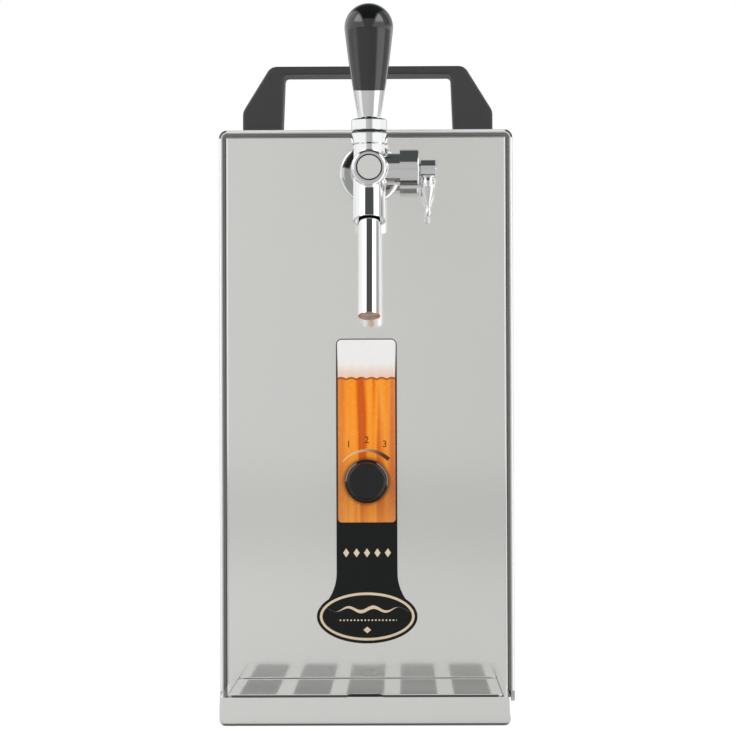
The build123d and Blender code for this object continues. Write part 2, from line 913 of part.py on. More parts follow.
with BuildPart() as bonnet_cap:
    with BuildSketch(Plane.XY.offset(upper_nut_floor)):
        with Locations((tap_x, tap_y)):
            Circle(upper_nut_radius)
    extrude(amount=ring_nut_height)
    rims = bonnet_cap.edges().filter_by(GeomType.CIRCLE)
    chamfer(rims, ring_nut_chamfer)
    with BuildSketch(Plane.XY.offset(upper_nut_floor)):
        with Locations((tap_x, tap_y)):
            Circle(thread_radius + fixed_fit)
    extrude(amount=thread_top + fixed_fit - upper_nut_floor, mode=Mode.SUBTRACT)
    with Locations(pivot):
        Sphere(ball_radius + running_fit, mode=Mode.SUBTRACT)
    with BuildSketch(along(pivot, (0, 0, 1))):
        with BuildLine():
            Polyline(
                (0, lip_height),
                (lip_opening, lip_height),
                (bowl_radius, bowl_floor),
                (bowl_radius, upper_nut_top - pivot_z + ring_nut_chamfer),
                (0, upper_nut_top - pivot_z + ring_nut_chamfer),
                close=True,
            )
        make_face()
    revolve(axis=Axis(pivot, (0, 0, 1)), mode=Mode.SUBTRACT)
    with BuildSketch(Plane.XY.offset(pivot_z)):
        with Locations((tap_x, tap_y)):
            Circle(lip_opening)
    extrude(amount=lip_height, mode=Mode.SUBTRACT)

with BuildPart() as spout_tube:
    with BuildSketch(spout_plane.offset(barrel_length - barrel_socket)):
        ring(spout_radius, spout_radius - spout_wall)
    extrude(amount=spout_reach - barrel_length + barrel_socket)

with BuildPart() as tap_plunger:
    with BuildSketch(upright(tap_y + plunger_back)):
        with Locations((tap_x, tap_z)):
            Circle(plunger_radius)
    extrude(amount=plunger_front + plunger_back)
    groove_half = finger_ball_radius + finger_play
    with BuildSketch(upright(tap_y + groove_half)):
        with Locations((tap_x, tap_z + plunger_groove_floor + plunger_radius / 2)):
            Rectangle(2 * plunger_radius, plunger_radius)
    extrude(amount=2 * groove_half, mode=Mode.SUBTRACT)

# ---- Lever --------------------------------------------------------------------------------------

with BuildPart() as lever_stem:
    with Locations(pivot):
        Sphere(ball_radius)
    with BuildSketch(lever_plane):
        Circle(stem_radius)
    extrude(amount=ferrule_end + stem_into_grip)
    with BuildSketch(Plane.XY.offset(pivot_z)):
        with Locations((tap_x, tap_y)):
            Circle(finger_radius)
    extrude(amount=-finger_length)
    with Locations((tap_x, tap_y, pivot_z - finger_length)):
        Sphere(finger_ball_radius)

with BuildPart() as lever_ferrule:
    with BuildSketch(lever_profile):
        with BuildLine():
            Polyline(
                (ball_radius + running_fit, ferrule_start),
                (ferrule_foot_radius, ferrule_start),
                (ferrule_top_radius, ferrule_end),
                (stem_radius + fixed_fit, ferrule_end),
                (stem_radius + fixed_fit, ball_radius),
                close=True,
            )
        make_face()
    revolve(axis=Axis(pivot, lever_axis))

with BuildPart() as lever_handle:
    with BuildSketch(lever_profile):
        with BuildLine():
            grip_top_end = ferrule_end + grip_length
            dome_centre = grip_top_end - grip_widest_radius
            reach_to_centre = sqrt(ferrule_top_radius**2 + (dome_centre - ferrule_end) ** 2)
            tangent_length = sqrt(reach_to_centre**2 - grip_widest_radius**2)
            slope = grip_widest_radius / reach_to_centre
            toward = tangent_length / reach_to_centre
            out_x = -ferrule_top_radius / reach_to_centre
            out_y = (dome_centre - ferrule_end) / reach_to_centre
            side_x = out_x * toward + out_y * slope
            side_y = out_y * toward - out_x * slope
            shoulder = (ferrule_top_radius + side_x * tangent_length, ferrule_end + side_y * tangent_length)
            middle = (
                ferrule_top_radius + side_x * tangent_length / 2 + grip_bulge,
                ferrule_end + side_y * tangent_length / 2,
            )
            dome_side = grip_widest_radius * sin(radians(45))
            ThreePointArc((ferrule_top_radius, ferrule_end), middle, shoulder)
            ThreePointArc(shoulder, (dome_side, dome_centre + dome_side), (0, grip_top_end))
            Polyline(
                (0, grip_top_end),
                (0, ferrule_end + stem_into_grip + fixed_fit),
                (stem_radius + fixed_fit, ferrule_end + stem_into_grip + fixed_fit),
                (stem_radius + fixed_fit, ferrule_end),
                (ferrule_top_radius, ferrule_end),
            )
        make_face()
    revolve(axis=Axis(pivot, lever_axis))

# ---- Compensator --------------------------------------------------------------------------------

neck_end = tap_x + neck_length
compensator_end = neck_end + compensator_length
hub_start = compensator_end + air_gap
hub_middle = hub_start + hub_length / 2

with BuildPart() as compensator_barrel:
    with BuildSketch(sideways(neck_end)):
        with Locations((tap_y, tap_z)):
            Circle(compensator_radius)
    extrude(amount=compensator_length)
    fillet(compensator_barrel.edges().group_by(Axis.X)[-1], compensator_edge)
    with BuildSketch(sideways(neck_end)):
        with Locations((tap_y, tap_z)):
            Circle(plug_radius + running_fit)
    extrude(amount=compensator_length - compensator_wall, mode=Mode.SUBTRACT)
    with BuildSketch(sideways(neck_end)):
        with Locations((tap_y, tap_z)):
            Circle(spindle_radius + running_fit)
    extrude(amount=compensator_length, mode=Mode.SUBTRACT)

with BuildPart() as compensator_plug:
    with BuildSketch(sideways(tap_x + plug_start)):
        with Locations((tap_y, tap_z)):
            Circle(plug_radius)
    extrude(amount=plug_length)
    chamfer(compensator_plug.edges().group_by(Axis.X)[0], plug_cone)

with BuildPart() as compensator_lever:
    with BuildSketch(sideways(hub_start)):
        with Locations((tap_y, tap_z)):
            Circle(hub_radius)
    extrude(amount=hub_length)
    chamfer(compensator_lever.edges(), ring_nut_chamfer)
    with BuildSketch(sideways(hub_start)):
        with Locations((tap_y, tap_z)):
            Circle(spindle_radius)
    extrude(amount=-spindle_inside)
    with BuildSketch(Plane(origin=(hub_middle, tap_y, tap_z), x_dir=(1, 0, 0), z_dir=(0, -1, 0))):
        with BuildLine():
            Polyline((0, -teardrop_end), (0, -teardrop_start), (teardrop_neck_radius, -teardrop_start))
            Spline(
                (teardrop_neck_radius, -teardrop_start),
                (teardrop_radius, -teardrop_widest),
                (teardrop_waist_radius, -teardrop_waist),
                (teardrop_bead_radius, (-teardrop_waist - teardrop_end) / 2),
                (0, -teardrop_end),
            )
        make_face()
    revolve(axis=Axis((hub_middle, tap_y, tap_z), (0, 0, 1)))

# ---- Thermostat ---------------------------------------------------------------------------------

thermostat_back = panel_back + thermostat_depth
dial_nut_front = label_thick_front - dial_nut_height
knob_back = label_thick_front - knob_gap
bush_front = label_thick_front - bush_reach

with BuildPart() as thermostat_body:
    with BuildSketch(upright(panel_back)):
        with Locations((0, dial_z)):
            Rectangle(thermostat_width, thermostat_height)
    extrude(amount=-thermostat_depth)
    chamfer(thermostat_body.edges().group_by(Axis.Y)[-1], sheet)
    with BuildSketch(upright(panel_back)):
        with Locations((0, dial_z)):
            Circle(bush_radius)
    extrude(amount=panel_back - bush_front)
    with BuildSketch(upright(bush_front)):
        with Locations((0, dial_z)):
            Circle(dial_spindle_radius + running_fit)
    extrude(amount=-(panel_back - bush_front + dial_spindle_inside), mode=Mode.SUBTRACT)

with BuildPart() as thermostat_nut:
    with BuildSketch(upright(label_thick_front)):
        with Locations((0, dial_z)):
            RegularPolygon(dial_nut_flats / 2, 6, major_radius=False)
            Circle(bush_radius + fixed_fit, mode=Mode.SUBTRACT)
    extrude(amount=dial_nut_height)

with BuildPart() as thermostat_spindle:
    with BuildSketch(upright(panel_back + dial_spindle_inside - air_gap)):
        with Locations((0, dial_z)):
            Circle(dial_spindle_radius)
    extrude(amount=dial_spindle_inside - air_gap + panel_back - label_thick_front + dial_spindle_reach)

with BuildPart() as thermostat_knob:
    with BuildSketch(along((0, label_thick_front, dial_z), (0, -1, 0))):
        with BuildLine():
            spindle_hole = dial_spindle_radius + fixed_fit
            pocket_end = knob_gap + knob_pocket
            Polyline(
                (knob_pocket_radius, knob_gap),
                (knob_skirt_radius, knob_gap),
                (knob_skirt_radius, knob_gap + knob_skirt - knob_edge),
                (knob_skirt_radius - knob_edge, knob_gap + knob_skirt),
                (knob_radius, knob_gap + knob_skirt),
                (knob_face_radius, knob_gap + knob_length - knob_edge),
                (knob_face_radius - knob_edge, knob_gap + knob_length),
                (0, knob_gap + knob_length),
                (0, dial_spindle_reach),
                (spindle_hole, dial_spindle_reach),
                (spindle_hole, pocket_end),
                (knob_pocket_radius, pocket_end),
                close=True,
            )
        make_face()
    revolve(axis=Axis((0, front, dial_z), (0, -1, 0)))

# ---- Cold block ---------------------------------------------------------------------------------

block_front = front + block_setback
block_back = block_front + block_depth
block_middle = (block_front + block_back) / 2
shell_front = block_front - insulation_cover
shell_back = block_back + insulation_cover
shell_split = (shell_floor + shell_top) / 2
bulb_z = block_floor + bulb_level
fitting_tail_end = rear_panel_out - fitting_tail

beer_lanes = [beer_fitting_x + lane * beer_pitch for lane in range(beer_passes)]
beer_route = serpentine(
    (beer_fitting_x, fitting_tail_end, beer_z),
    beer_lanes,
    block_front + coil_margin,
    block_back - coil_margin,
    shell_front - beer_stub,
)
beer_bends = [beer_pitch / 2 - fixed_fit] * (len(beer_route) - 2)
evaporator_start_x = evaporator_pitch * (evaporator_passes - 1) / 2
evaporator_lanes = [evaporator_start_x - lane * evaporator_pitch for lane in range(evaporator_passes)]
evaporator_end = shell_back + evaporator_stub
evaporator_route = serpentine(
    (evaporator_start_x, evaporator_end, evaporator_z),
    evaporator_lanes,
    block_front + coil_margin,
    block_back - coil_margin,
    evaporator_end,
)
evaporator_bends = [evaporator_pitch / 2 - fixed_fit] * (len(evaporator_route) - 2)

with BuildPart() as beer_coil:
    run_tube(beer_route, beer_bends, beer_radius, beer_radius - beer_wall)

with BuildPart() as evaporator_coil:
    run_tube(evaporator_route, evaporator_bends, evaporator_radius, evaporator_radius - evaporator_wall)

with BuildPart() as cooling_block:
    with BuildSketch(Plane.XY.offset(block_floor)):
        with Locations((0, block_middle)):
            Rectangle(block_width, block_depth)
    extrude(amount=block_height)
    run_tube(beer_route, beer_bends, beer_radius + fixed_fit, mode=Mode.SUBTRACT)
    run_tube(evaporator_route, evaporator_bends, evaporator_radius + fixed_fit, mode=Mode.SUBTRACT)
    with BuildSketch(upright(block_front)):
        with Locations((bulb_x, bulb_z)):
            Circle(bulb_radius + fixed_fit)
    extrude(amount=-bulb_length, mode=Mode.SUBTRACT)

with BuildPart() as insulation_halves:
    for half_floor, half_top in ((shell_floor, shell_split), (shell_split, shell_top)):
        with BuildSketch(Plane.XY.offset(half_floor)):
            with Locations((0, block_middle)):
                Rectangle(2 * shell_half, shell_back - shell_front)
        extrude(amount=half_top - half_floor)
    with BuildSketch(Plane.XY.offset(block_floor)):
        with Locations((0, block_middle)):
            Rectangle(block_width, block_depth)
    extrude(amount=block_height, mode=Mode.SUBTRACT)
    tube_places = [
        (beer_lanes[0], beer_z, beer_radius, block_back, shell_back),
        (beer_lanes[-1], beer_z, beer_radius, shell_front, block_front),
        (evaporator_lanes[0], evaporator_z, evaporator_radius, block_back, shell_back),
        (evaporator_lanes[-1], evaporator_z, evaporator_radius, block_back, shell_back),
        (bulb_x, bulb_z, bulb_radius, shell_front, block_front),
    ]
    for x, z, radius, start_y, end_y in tube_places:
        with BuildSketch(upright(start_y)):
            with Locations((x, z)):
                Circle(radius + port_play)
        extrude(amount=start_y - end_y, mode=Mode.SUBTRACT)

with BuildPart() as cooling_shelf:
    with BuildSketch(Plane.XY.offset(shelf_level)):
        with Locations((0, (panel_back + rear_panel_in) / 2)):
            Rectangle(2 * shelf_half_width, rear_panel_in - panel_back)
        with Locations((0, front + shelf_window_setback + shelf_window_depth / 2)):
            Rectangle(2 * shelf_window_half_width, shelf_window_depth, mode=Mode.SUBTRACT)
        with Locations((bulb_x, front + bulb_tube_setback)):
            Circle(bulb_tube_radius + 2 * port_play, mode=Mode.SUBTRACT)
    extrude(amount=shelf_sheet)
    for flange_y in (panel_back, rear_panel_in - shelf_sheet):
        with BuildSketch(upright(flange_y)):
            with Locations((0, shelf_level - shelf_flange / 2)):
                Rectangle(2 * shelf_half_width, shelf_flange)
        extrude(amount=-shelf_sheet)

with BuildPart() as tap_feed_line:
    feed_y = front + feed_rise_setback
    run_tube(
        [
            (beer_lanes[-1], shell_front - beer_stub, beer_z),
            (beer_lanes[-1], feed_y, beer_z),
            (tap_x, feed_y, tap_z),
            (tap_x, front + shank_tail, tap_z),
        ],
        [feed_bend, feed_bend],
        beer_radius,
        beer_radius - beer_wall,
    )

with BuildPart() as thermostat_bulb:
    bulb_start = block_front + bulb_length
    with BuildSketch(upright(block_front)):
        with Locations((bulb_x, bulb_z)):
            Circle(bulb_radius)
    extrude(amount=-bulb_length)
    run_tube(
        [
            (bulb_x, front + bulb_tube_setback, dial_z + thermostat_height / 2),
            (bulb_x, front + bulb_tube_setback, bulb_z),
            (bulb_x, block_front, bulb_z),
        ],
        [bulb_tube_bend],
        bulb_tube_radius,
    )

# ---- Compressor and its lines -------------------------------------------------------------------

plate_floor = floor_top + mount_height
plate_top = plate_floor + compressor_plate_thickness
compressor_top = plate_top + compressor_height
port_top = compressor_top + port_rise
discharge_x = compressor_x + port_x + compressor_foot_radius
suction_x = evaporator_lanes[-1]
ports_y = compressor_y + port_y

with BuildPart() as compressor:
    with BuildSketch(Plane.XY.offset(plate_top)):
        with Locations((compressor_x, compressor_y)):
            Circle(compressor_radius)
    extrude(amount=compressor_height)
    fillet(compressor.edges().group_by(Axis.Z)[-1], compressor_shoulder)
    with BuildSketch(Plane.XY.offset(plate_floor)):
        with Locations((compressor_x, compressor_y)):
            Rectangle(compressor_plate, compressor_plate)
            fillet(vertices(), compressor_foot_radius)
        with Locations(*compressor_bolts):
            Circle(bolt_radius + fixed_fit, mode=Mode.SUBTRACT)
    extrude(amount=compressor_plate_thickness)
    with BuildSketch(upright(compressor_y)):
        with Locations((compressor_x, relay_floor + relay_height / 2)):
            Rectangle(relay_width, relay_height)
    extrude(amount=relay_pad)
    with BuildSketch(Plane.XY.offset(compressor_top - compressor_shoulder)):
        with Locations((discharge_x, ports_y), (suction_x, ports_y)):
            Circle(port_radius)
    extrude(amount=compressor_shoulder + port_rise)

with BuildPart() as rubber_mounts:
    with BuildSketch(Plane.XY.offset(floor_top)):
        with Locations(*compressor_bolts):
            ring(mount_radius, bolt_radius + fixed_fit)
    extrude(amount=mount_height)
    with BuildSketch(Plane.XY.offset(floor_top)):
        with Locations(*pump_mounts):
            Circle(pump_mount_radius)
    extrude(amount=pump_mount_height)

with BuildPart() as compressor_relay:
    with BuildSketch(upright(compressor_y - relay_pad)):
        with Locations((compressor_x, relay_floor + relay_height / 2)):
            Rectangle(relay_width, relay_height)
    extrude(amount=relay_depth)
    fillet(compressor_relay.edges().group_by(Axis.Y)[0], pump_edge)

condenser_y0 = front + condenser_setback
condenser_y1 = condenser_y0 + condenser_depth
condenser_lanes = [
    floor_top + condenser_level + lane * condenser_pitch for lane in reversed(range(condenser_passes))
]
condenser_end = condenser_y1 + condenser_stub
condenser_route = serpentine(
    (condenser_x, condenser_end, condenser_lanes[0]),
    condenser_lanes,
    condenser_y0 - condenser_bend_reach,
    condenser_y1 + condenser_bend_reach,
    condenser_end,
    along_z=True,
)
condenser_bends = [condenser_pitch / 2 - fixed_fit] * (len(condenser_route) - 2)
drier_y = front + drier_setback
discharge_y = front + discharge_setback
discharge_level = port_top + discharge_rise

with BuildPart() as refrigerant_lines:
    run_tube(
        [
            (suction_x, evaporator_end, evaporator_z),
            (suction_x, ports_y, evaporator_z),
            (suction_x, ports_y, port_top),
        ],
        [suction_bend],
        line_radius,
        line_radius - line_wall,
    )
    run_tube(
        [
            (discharge_x, ports_y, port_top),
            (discharge_x, ports_y, discharge_level),
            (condenser_x, ports_y, discharge_level),
            (condenser_x, discharge_y, discharge_level),
            (condenser_x, discharge_y, condenser_lanes[0]),
            (condenser_x, condenser_end, condenser_lanes[0]),
        ],
        [discharge_bend, discharge_sweep, discharge_sweep, discharge_drop_bend],
        line_radius,
        line_radius - line_wall,
    )
    run_tube(
        [
            (condenser_x, condenser_end, condenser_lanes[-1]),
            (condenser_x, drier_y, condenser_lanes[-1]),
            (condenser_x, drier_y, drier_floor),
        ],
        [liquid_bend],
        line_radius,
        line_radius - line_wall,
    )

with BuildPart() as filter_drier:
    with BuildSketch(along((condenser_x, drier_y, drier_floor), (0, 0, 1))):
        with BuildLine():
            Polyline(
                (0, 0),
                (line_radius, 0),
                (drier_radius, drier_cone),
                (drier_radius, drier_length - drier_cone),
                (line_radius, drier_length),
                (0, drier_length),
                close=True,
            )
        make_face()
    revolve(axis=Axis((condenser_x, drier_y, drier_floor), (0, 0, 1)))

with BuildPart() as capillary_tube:
    drier_top = drier_floor + drier_length
    capillary_y = front + capillary_setback
    run_tube(
        [
            (condenser_x, drier_y, drier_top),
            (condenser_x, drier_y, drier_top + capillary_start_rise),
            (evaporator_lanes[0], capillary_y, drier_top + capillary_end_rise),
            (evaporator_lanes[0], capillary_y, evaporator_z),
            (evaporator_lanes[0], evaporator_end, evaporator_z),
        ],
        [capillary_bend, capillary_bend, capillary_end_bend],
        capillary_radius,
    )

# ---- Condenser and fan --------------------------------------------------------------------------

condenser_x0 = condenser_x - condenser_width / 2
fan_back_x = condenser_x0 - fan_gap
fan_front_x = fan_back_x - fan_depth
fan_y = (condenser_y0 + condenser_y1) / 2
fan_z = floor_top + fan_size / 2
strut_back_x = fan_front_x + strut_thickness
motor_back_x = strut_back_x + motor_length
fan_hub_x = motor_back_x + fan_hub_gap
blade_middle_x = fan_hub_x + fan_hub_length / 2

with BuildPart() as condenser_coil:
    run_tube(condenser_route, condenser_bends, line_radius, line_radius - line_wall)

with BuildPart() as condenser_fins:
    fin_step = (condenser_depth - end_plate) / (fin_count - 1)
    for fin in range(fin_count):
        is_end = fin in (0, fin_count - 1)
        thickness = end_plate if is_end else fin_thickness
        lift = 0 if is_end else fin_lift
        fin_y = condenser_y0 + end_plate / 2 + fin * fin_step
        with BuildSketch(upright(fin_y - thickness / 2)):
            with Locations((condenser_x, floor_top + condenser_height / 2)):
                Rectangle(condenser_width, condenser_height - 2 * lift)
            with Locations(*[(condenser_x, lane) for lane in condenser_lanes]):
                Circle(line_radius + fixed_fit, mode=Mode.SUBTRACT)
        extrude(amount=-thickness)

with BuildPart() as fan_frame:
    with BuildSketch(sideways(fan_front_x)):
        with Locations((fan_y, fan_z)):
            RectangleRounded(fan_size, fan_size, fan_corner)
            Circle(fan_bore, mode=Mode.SUBTRACT)
    extrude(amount=fan_depth)
    with BuildSketch(sideways(fan_front_x)):
        with Locations((fan_y, fan_z)):
            Circle(strut_hub_radius)
            with PolarLocations(fan_bore / 2 + fan_corner / 2, 4, start_angle=45):
                Rectangle(fan_bore, strut_width)
    extrude(amount=strut_thickness)

with BuildPart() as fan_motor:
    with BuildSketch(sideways(strut_back_x)):
        with Locations((fan_y, fan_z)):
            Circle(motor_radius)
    extrude(amount=motor_length)
    with BuildSketch(sideways(motor_back_x)):
        with Locations((fan_y, fan_z)):
            Circle(fan_shaft_radius + running_fit)
    extrude(amount=-(fan_shaft_inside + air_gap), mode=Mode.SUBTRACT)

with BuildPart() as fan_blades:
    with BuildSketch(sideways(fan_hub_x)):
        with Locations((fan_y, fan_z)):
            Circle(fan_hub_radius)
    extrude(amount=fan_hub_length)
    with BuildSketch(sideways(fan_hub_x)):
        with Locations((fan_y, fan_z)):
            Circle(fan_shaft_radius)
    extrude(amount=-(fan_hub_gap + fan_shaft_inside))
    blade_length = blade_tip - fan_hub_radius + blade_root
    with Locations(Plane(origin=(blade_middle_x, fan_y, fan_z), x_dir=(0, 1, 0), z_dir=(1, 0, 0))):
        with PolarLocations(blade_tip - blade_length / 2, blade_count):
            with Locations(Rotation(blade_angle, 0, 0)):
                Box(blade_length, blade_chord, blade_thickness)

with BuildPart() as fan_guard:
    guard_x = fan_front_x - guard_wire
    guard_plane = Plane(origin=(guard_x, fan_y, fan_z), x_dir=(0, 1, 0), z_dir=(1, 0, 0))
    with Locations(guard_plane):
        for step in range(guard_rings):
            Torus(guard_rim - step * guard_ring_step, guard_wire)
    for angle in (0, 90, 180, 270):
        with Locations(guard_plane):
            with PolarLocations(0, 1, start_angle=angle):
                with Locations((guard_rim / 2, 0, 0)):
                    Box(guard_rim, 2 * guard_wire, 2 * guard_wire)

# ---- Air pump -----------------------------------------------------------------------------------

pump_plate_floor = floor_top + pump_mount_height
pump_plate_top = pump_plate_floor + pump_plate_thickness
pump_front = pump_y - pump_plate_depth / 2
pump_head_top = pump_plate_top + pump_head_height
nipple_y = pump_front + pump_head_depth / 2

with BuildPart() as air_pump:
    with BuildSketch(Plane.XY.offset(pump_plate_floor)):
        with Locations((pump_x, pump_y)):
            RectangleRounded(pump_plate_width, pump_plate_depth, pump_edge)
    extrude(amount=pump_plate_thickness)
    with BuildSketch(Plane.XY.offset(pump_plate_top)):
        with Locations((pump_x, nipple_y)):
            RectangleRounded(pump_head_width, pump_head_depth, pump_edge)
    extrude(amount=pump_head_height)
    with BuildSketch(upright(pump_front + pump_head_depth)):
        with Locations((pump_x, pump_plate_top + pump_motor_radius)):
            Circle(pump_motor_radius)
            with Locations((0, -pump_motor_radius / 2)):
                Rectangle(pump_motor_radius, pump_motor_radius)
    extrude(amount=-pump_motor_length)
    with BuildSketch(Plane.XY.offset(pump_head_top)):
        with Locations((pump_x, nipple_y)):
            Circle(nipple_radius)
    extrude(amount=nipple_length)

with BuildPart() as air_hose:
    hose_start = pump_head_top
    run_tube(
        [
            (pump_x, nipple_y, hose_start),
            (pump_x, nipple_y, hose_start + hose_rise),
            (hose_x, nipple_y, hose_shift_height),
            (hose_x, nipple_y, air_fitting_level),
            (hose_x, front + hose_end_setback, air_fitting_level),
            (air_fitting_x, front + hose_join_setback, air_fitting_level),
            (air_fitting_x, fitting_tail_end, air_fitting_level),
        ],
        [hose_bend, hose_bend, hose_turn, hose_bend, hose_bend],
        hose_radius,
        hose_bore,
    )

# ---- Rear fittings ------------------------------------------------------------------------------

fitting_places = [(beer_fitting_x, beer_z), (air_fitting_x, air_fitting_level)]
fitting_mouth = rear_panel_out + fitting_flange
collet_start = fitting_mouth - collet_inside
collet_flange_start = fitting_mouth + collet_gap

with BuildPart() as push_fittings:
    with BuildSketch(upright(rear_panel_out)):
        with Locations(*fitting_places):
            Circle(fitting_flange_radius)
    extrude(amount=-fitting_flange)
    chamfer(push_fittings.edges().group_by(Axis.Y)[-1], ring_nut_chamfer)
    with BuildSketch(upright(rear_panel_out)):
        with Locations(*fitting_places):
            Circle(fitting_thread_radius)
    extrude(amount=fitting_thread)
    with BuildSketch(upright(rear_panel_out)):
        with Locations(*fitting_places):
            Circle(fitting_tail_radius)
    extrude(amount=fitting_tail)
    with BuildSketch(upright(fitting_mouth)):
        with Locations(*fitting_places):
            Circle(fitting_waterway)
    extrude(amount=fitting_flange + fitting_tail, mode=Mode.SUBTRACT)
    with BuildSketch(upright(fitting_mouth)):
        with Locations(*fitting_places):
            Circle(fitting_tube_radius)
    extrude(amount=fitting_tube_depth, mode=Mode.SUBTRACT)
    with BuildSketch(upright(fitting_mouth)):
        with Locations(*fitting_places):
            Circle(collet_radius + running_fit)
    extrude(amount=collet_pocket, mode=Mode.SUBTRACT)
    with BuildSketch(upright(rear_panel_in)):
        with Locations(*fitting_places):
            ring(fitting_nut_radius, fitting_thread_radius + fixed_fit)
    extrude(amount=fitting_nut)


def collet_at(x, z):
    """A release collet in the mouth of a fitting."""
    with BuildSketch(upright(collet_start)) as sleeve:
        with Locations((x, z)):
            ring(collet_radius, collet_bore)
    extrude(sleeve.sketch, amount=-(collet_flange_start - collet_start))
    with BuildSketch(upright(collet_flange_start)) as flange:
        with Locations((x, z)):
            ring(collet_flange_radius, collet_bore)
    extrude(flange.sketch, amount=-collet_flange)


with BuildPart() as beer_collet:
    collet_at(*fitting_places[0])

with BuildPart() as air_collet:
    collet_at(*fitting_places[1])

# ---- Power inlet and switches -------------------------------------------------------------------

with BuildPart() as power_inlet:
    with BuildSketch(upright(rear_panel_out)):
        with Locations((inlet_x, inlet_level)):
            RectangleRounded(inlet_flange_width, inlet_flange_height, inlet_corner)
    extrude(amount=-inlet_flange)
    with BuildSketch(upright(rear_panel_out)):
        with Locations((inlet_x, inlet_level)):
            Rectangle(inlet_body_width, inlet_body_height)
    extrude(amount=inlet_body_depth)
    with BuildSketch(upright(rear_panel_out + inlet_flange)):
        with Locations((inlet_x, inlet_level)):
            RectangleRounded(inlet_recess_width, inlet_recess_height, inlet_corner)
    extrude(amount=inlet_recess_depth, mode=Mode.SUBTRACT)
    with BuildSketch(upright(rear_panel_out + inlet_flange - inlet_recess_depth)):
        with Locations((inlet_x, inlet_level)):
            pin_half = inlet_pin_spacing / 2
            with Locations((-pin_half, -inlet_pin_drop), (0, 2 * inlet_pin_drop), (pin_half, -inlet_pin_drop)):
                Rectangle(inlet_pin_width, inlet_pin_height)
    extrude(amount=-inlet_pin_length)

rocker_y = rear_panel_out + switch_flange - rocker_pivot

with BuildPart() as switch_housings:
    for level in switch_levels:
        with BuildSketch(upright(rear_panel_out)):
            with Locations((switch_x, level)):
                RectangleRounded(switch_flange_width, switch_flange_height, sheet)
        extrude(amount=-switch_flange)
        with BuildSketch(upright(rear_panel_out)):
            with Locations((switch_x, level)):
                Rectangle(switch_body_width, switch_body_height)
        extrude(amount=switch_body_depth)
        with BuildSketch(upright(rear_panel_out + switch_flange)):
            with Locations((switch_x, level)):
                Rectangle(switch_window_width, switch_window_height)
        extrude(amount=switch_window_depth, mode=Mode.SUBTRACT)
        with BuildSketch(sideways(switch_x - switch_window_width / 2)):
            with Locations((rocker_y, level)):
                Circle(rocker_pin_radius)
        extrude(amount=switch_window_width)


def rocker_at(level):
    """A rocker on its pin, tipped to its off side."""
    half = switch_window_width / 2 - rocker_play
    outward = (0, cos(radians(rocker_tilt)), sin(radians(rocker_tilt)))
    with BuildSketch(Plane((switch_x - half, rocker_y, level), x_dir=outward, z_dir=(1, 0, 0))) as profile:
        with BuildLine():
            Polyline(
                (rocker_crest + rocker_dish, -rocker_height / 2),
                (rocker_crest, 0),
                (rocker_crest + rocker_dish, rocker_height / 2),
                (-rocker_pivot, rocker_height / 2 - rocker_pivot),
                (-rocker_pivot, -rocker_height / 2 + rocker_pivot),
                close=True,
            )
        make_face()
        Circle(rocker_pin_radius + running_fit, mode=Mode.SUBTRACT)
    extrude(profile.sketch, amount=2 * half)


with BuildPart() as cooling_rocker:
    rocker_at(switch_levels[1])

with BuildPart() as pump_rocker:
    rocker_at(switch_levels[0])

# ---- Wiring -------------------------------------------------------------------------------------

inlet_back = rear_panel_out - inlet_body_depth
switch_back = rear_panel_out - switch_body_depth
thermostat_top = dial_z + thermostat_height / 2
relay_top = relay_floor + relay_height
relay_wire_x = compressor_x + relay_width / 4
relay_wire_y = compressor_y - relay_pad - relay_depth / 2
relay_wire_z = dial_z + thermostat_height / 6
fan_wire_z = dial_z + thermostat_height / 3
pump_motor_end = pump_front + pump_head_depth + pump_motor_length
pump_wire_z = dial_z - thermostat_height / 9
thermostat_middle_y = panel_back + thermostat_depth / 2

wire_routes = [
    [
        (switch_x - wire_spread, inlet_back, inlet_level),
        (switch_x - wire_spread, inlet_back - wire_inlet_loop, inlet_level),
        (switch_x - wire_spread, inlet_back - wire_inlet_loop, switch_levels[0]),
        (switch_x - wire_spread, switch_back, switch_levels[0]),
    ],
    [
        (switch_x + wire_spread, inlet_back, inlet_level),
        (switch_x + wire_spread, inlet_back - wire_switch_loop, inlet_level),
        (switch_x + wire_spread, inlet_back - wire_switch_loop, switch_levels[1]),
        (switch_x + wire_spread, switch_back, switch_levels[1]),
    ],
    [
        (switch_x, switch_back, switch_levels[1] + wire_spread),
        (switch_x, switch_back - wire_inlet_loop, switch_levels[1] + wire_spread),
        (switch_x, switch_back - wire_inlet_loop, wire_run_level),
        (-bulb_x, thermostat_middle_y, wire_run_level),
        (-bulb_x, thermostat_middle_y, thermostat_top),
    ],
    [
        (relay_wire_x, relay_wire_y, relay_top),
        (relay_wire_x, relay_wire_y, relay_wire_z),
        (relay_wire_x, thermostat_back, relay_wire_z),
    ],
    [
        (fan_front_x + fan_depth / 2, fan_y - fan_size / 4, floor_top + fan_size),
        (fan_front_x + fan_depth / 2, fan_y - fan_size / 4, fan_wire_z),
        (fan_front_x + fan_depth / 2, thermostat_middle_y, fan_wire_z),
        (thermostat_width / 2, thermostat_middle_y, fan_wire_z),
    ],
    [
        (pump_x, pump_motor_end, pump_plate_top + pump_motor_radius),
        (pump_x, pump_motor_end + wire_inlet_loop, pump_plate_top + pump_motor_radius),
        (pump_x, pump_motor_end + wire_inlet_loop, pump_wire_z),
        (pump_x, thermostat_middle_y, pump_wire_z),
        (-thermostat_width / 2, thermostat_middle_y, pump_wire_z),
    ],
]

with BuildPart() as wiring:
    for route in wire_routes:
        run_tube(route, [wire_bend] * (len(route) - 2), wire_radius)

# ---- Drip tray ----------------------------------------------------------------------------------

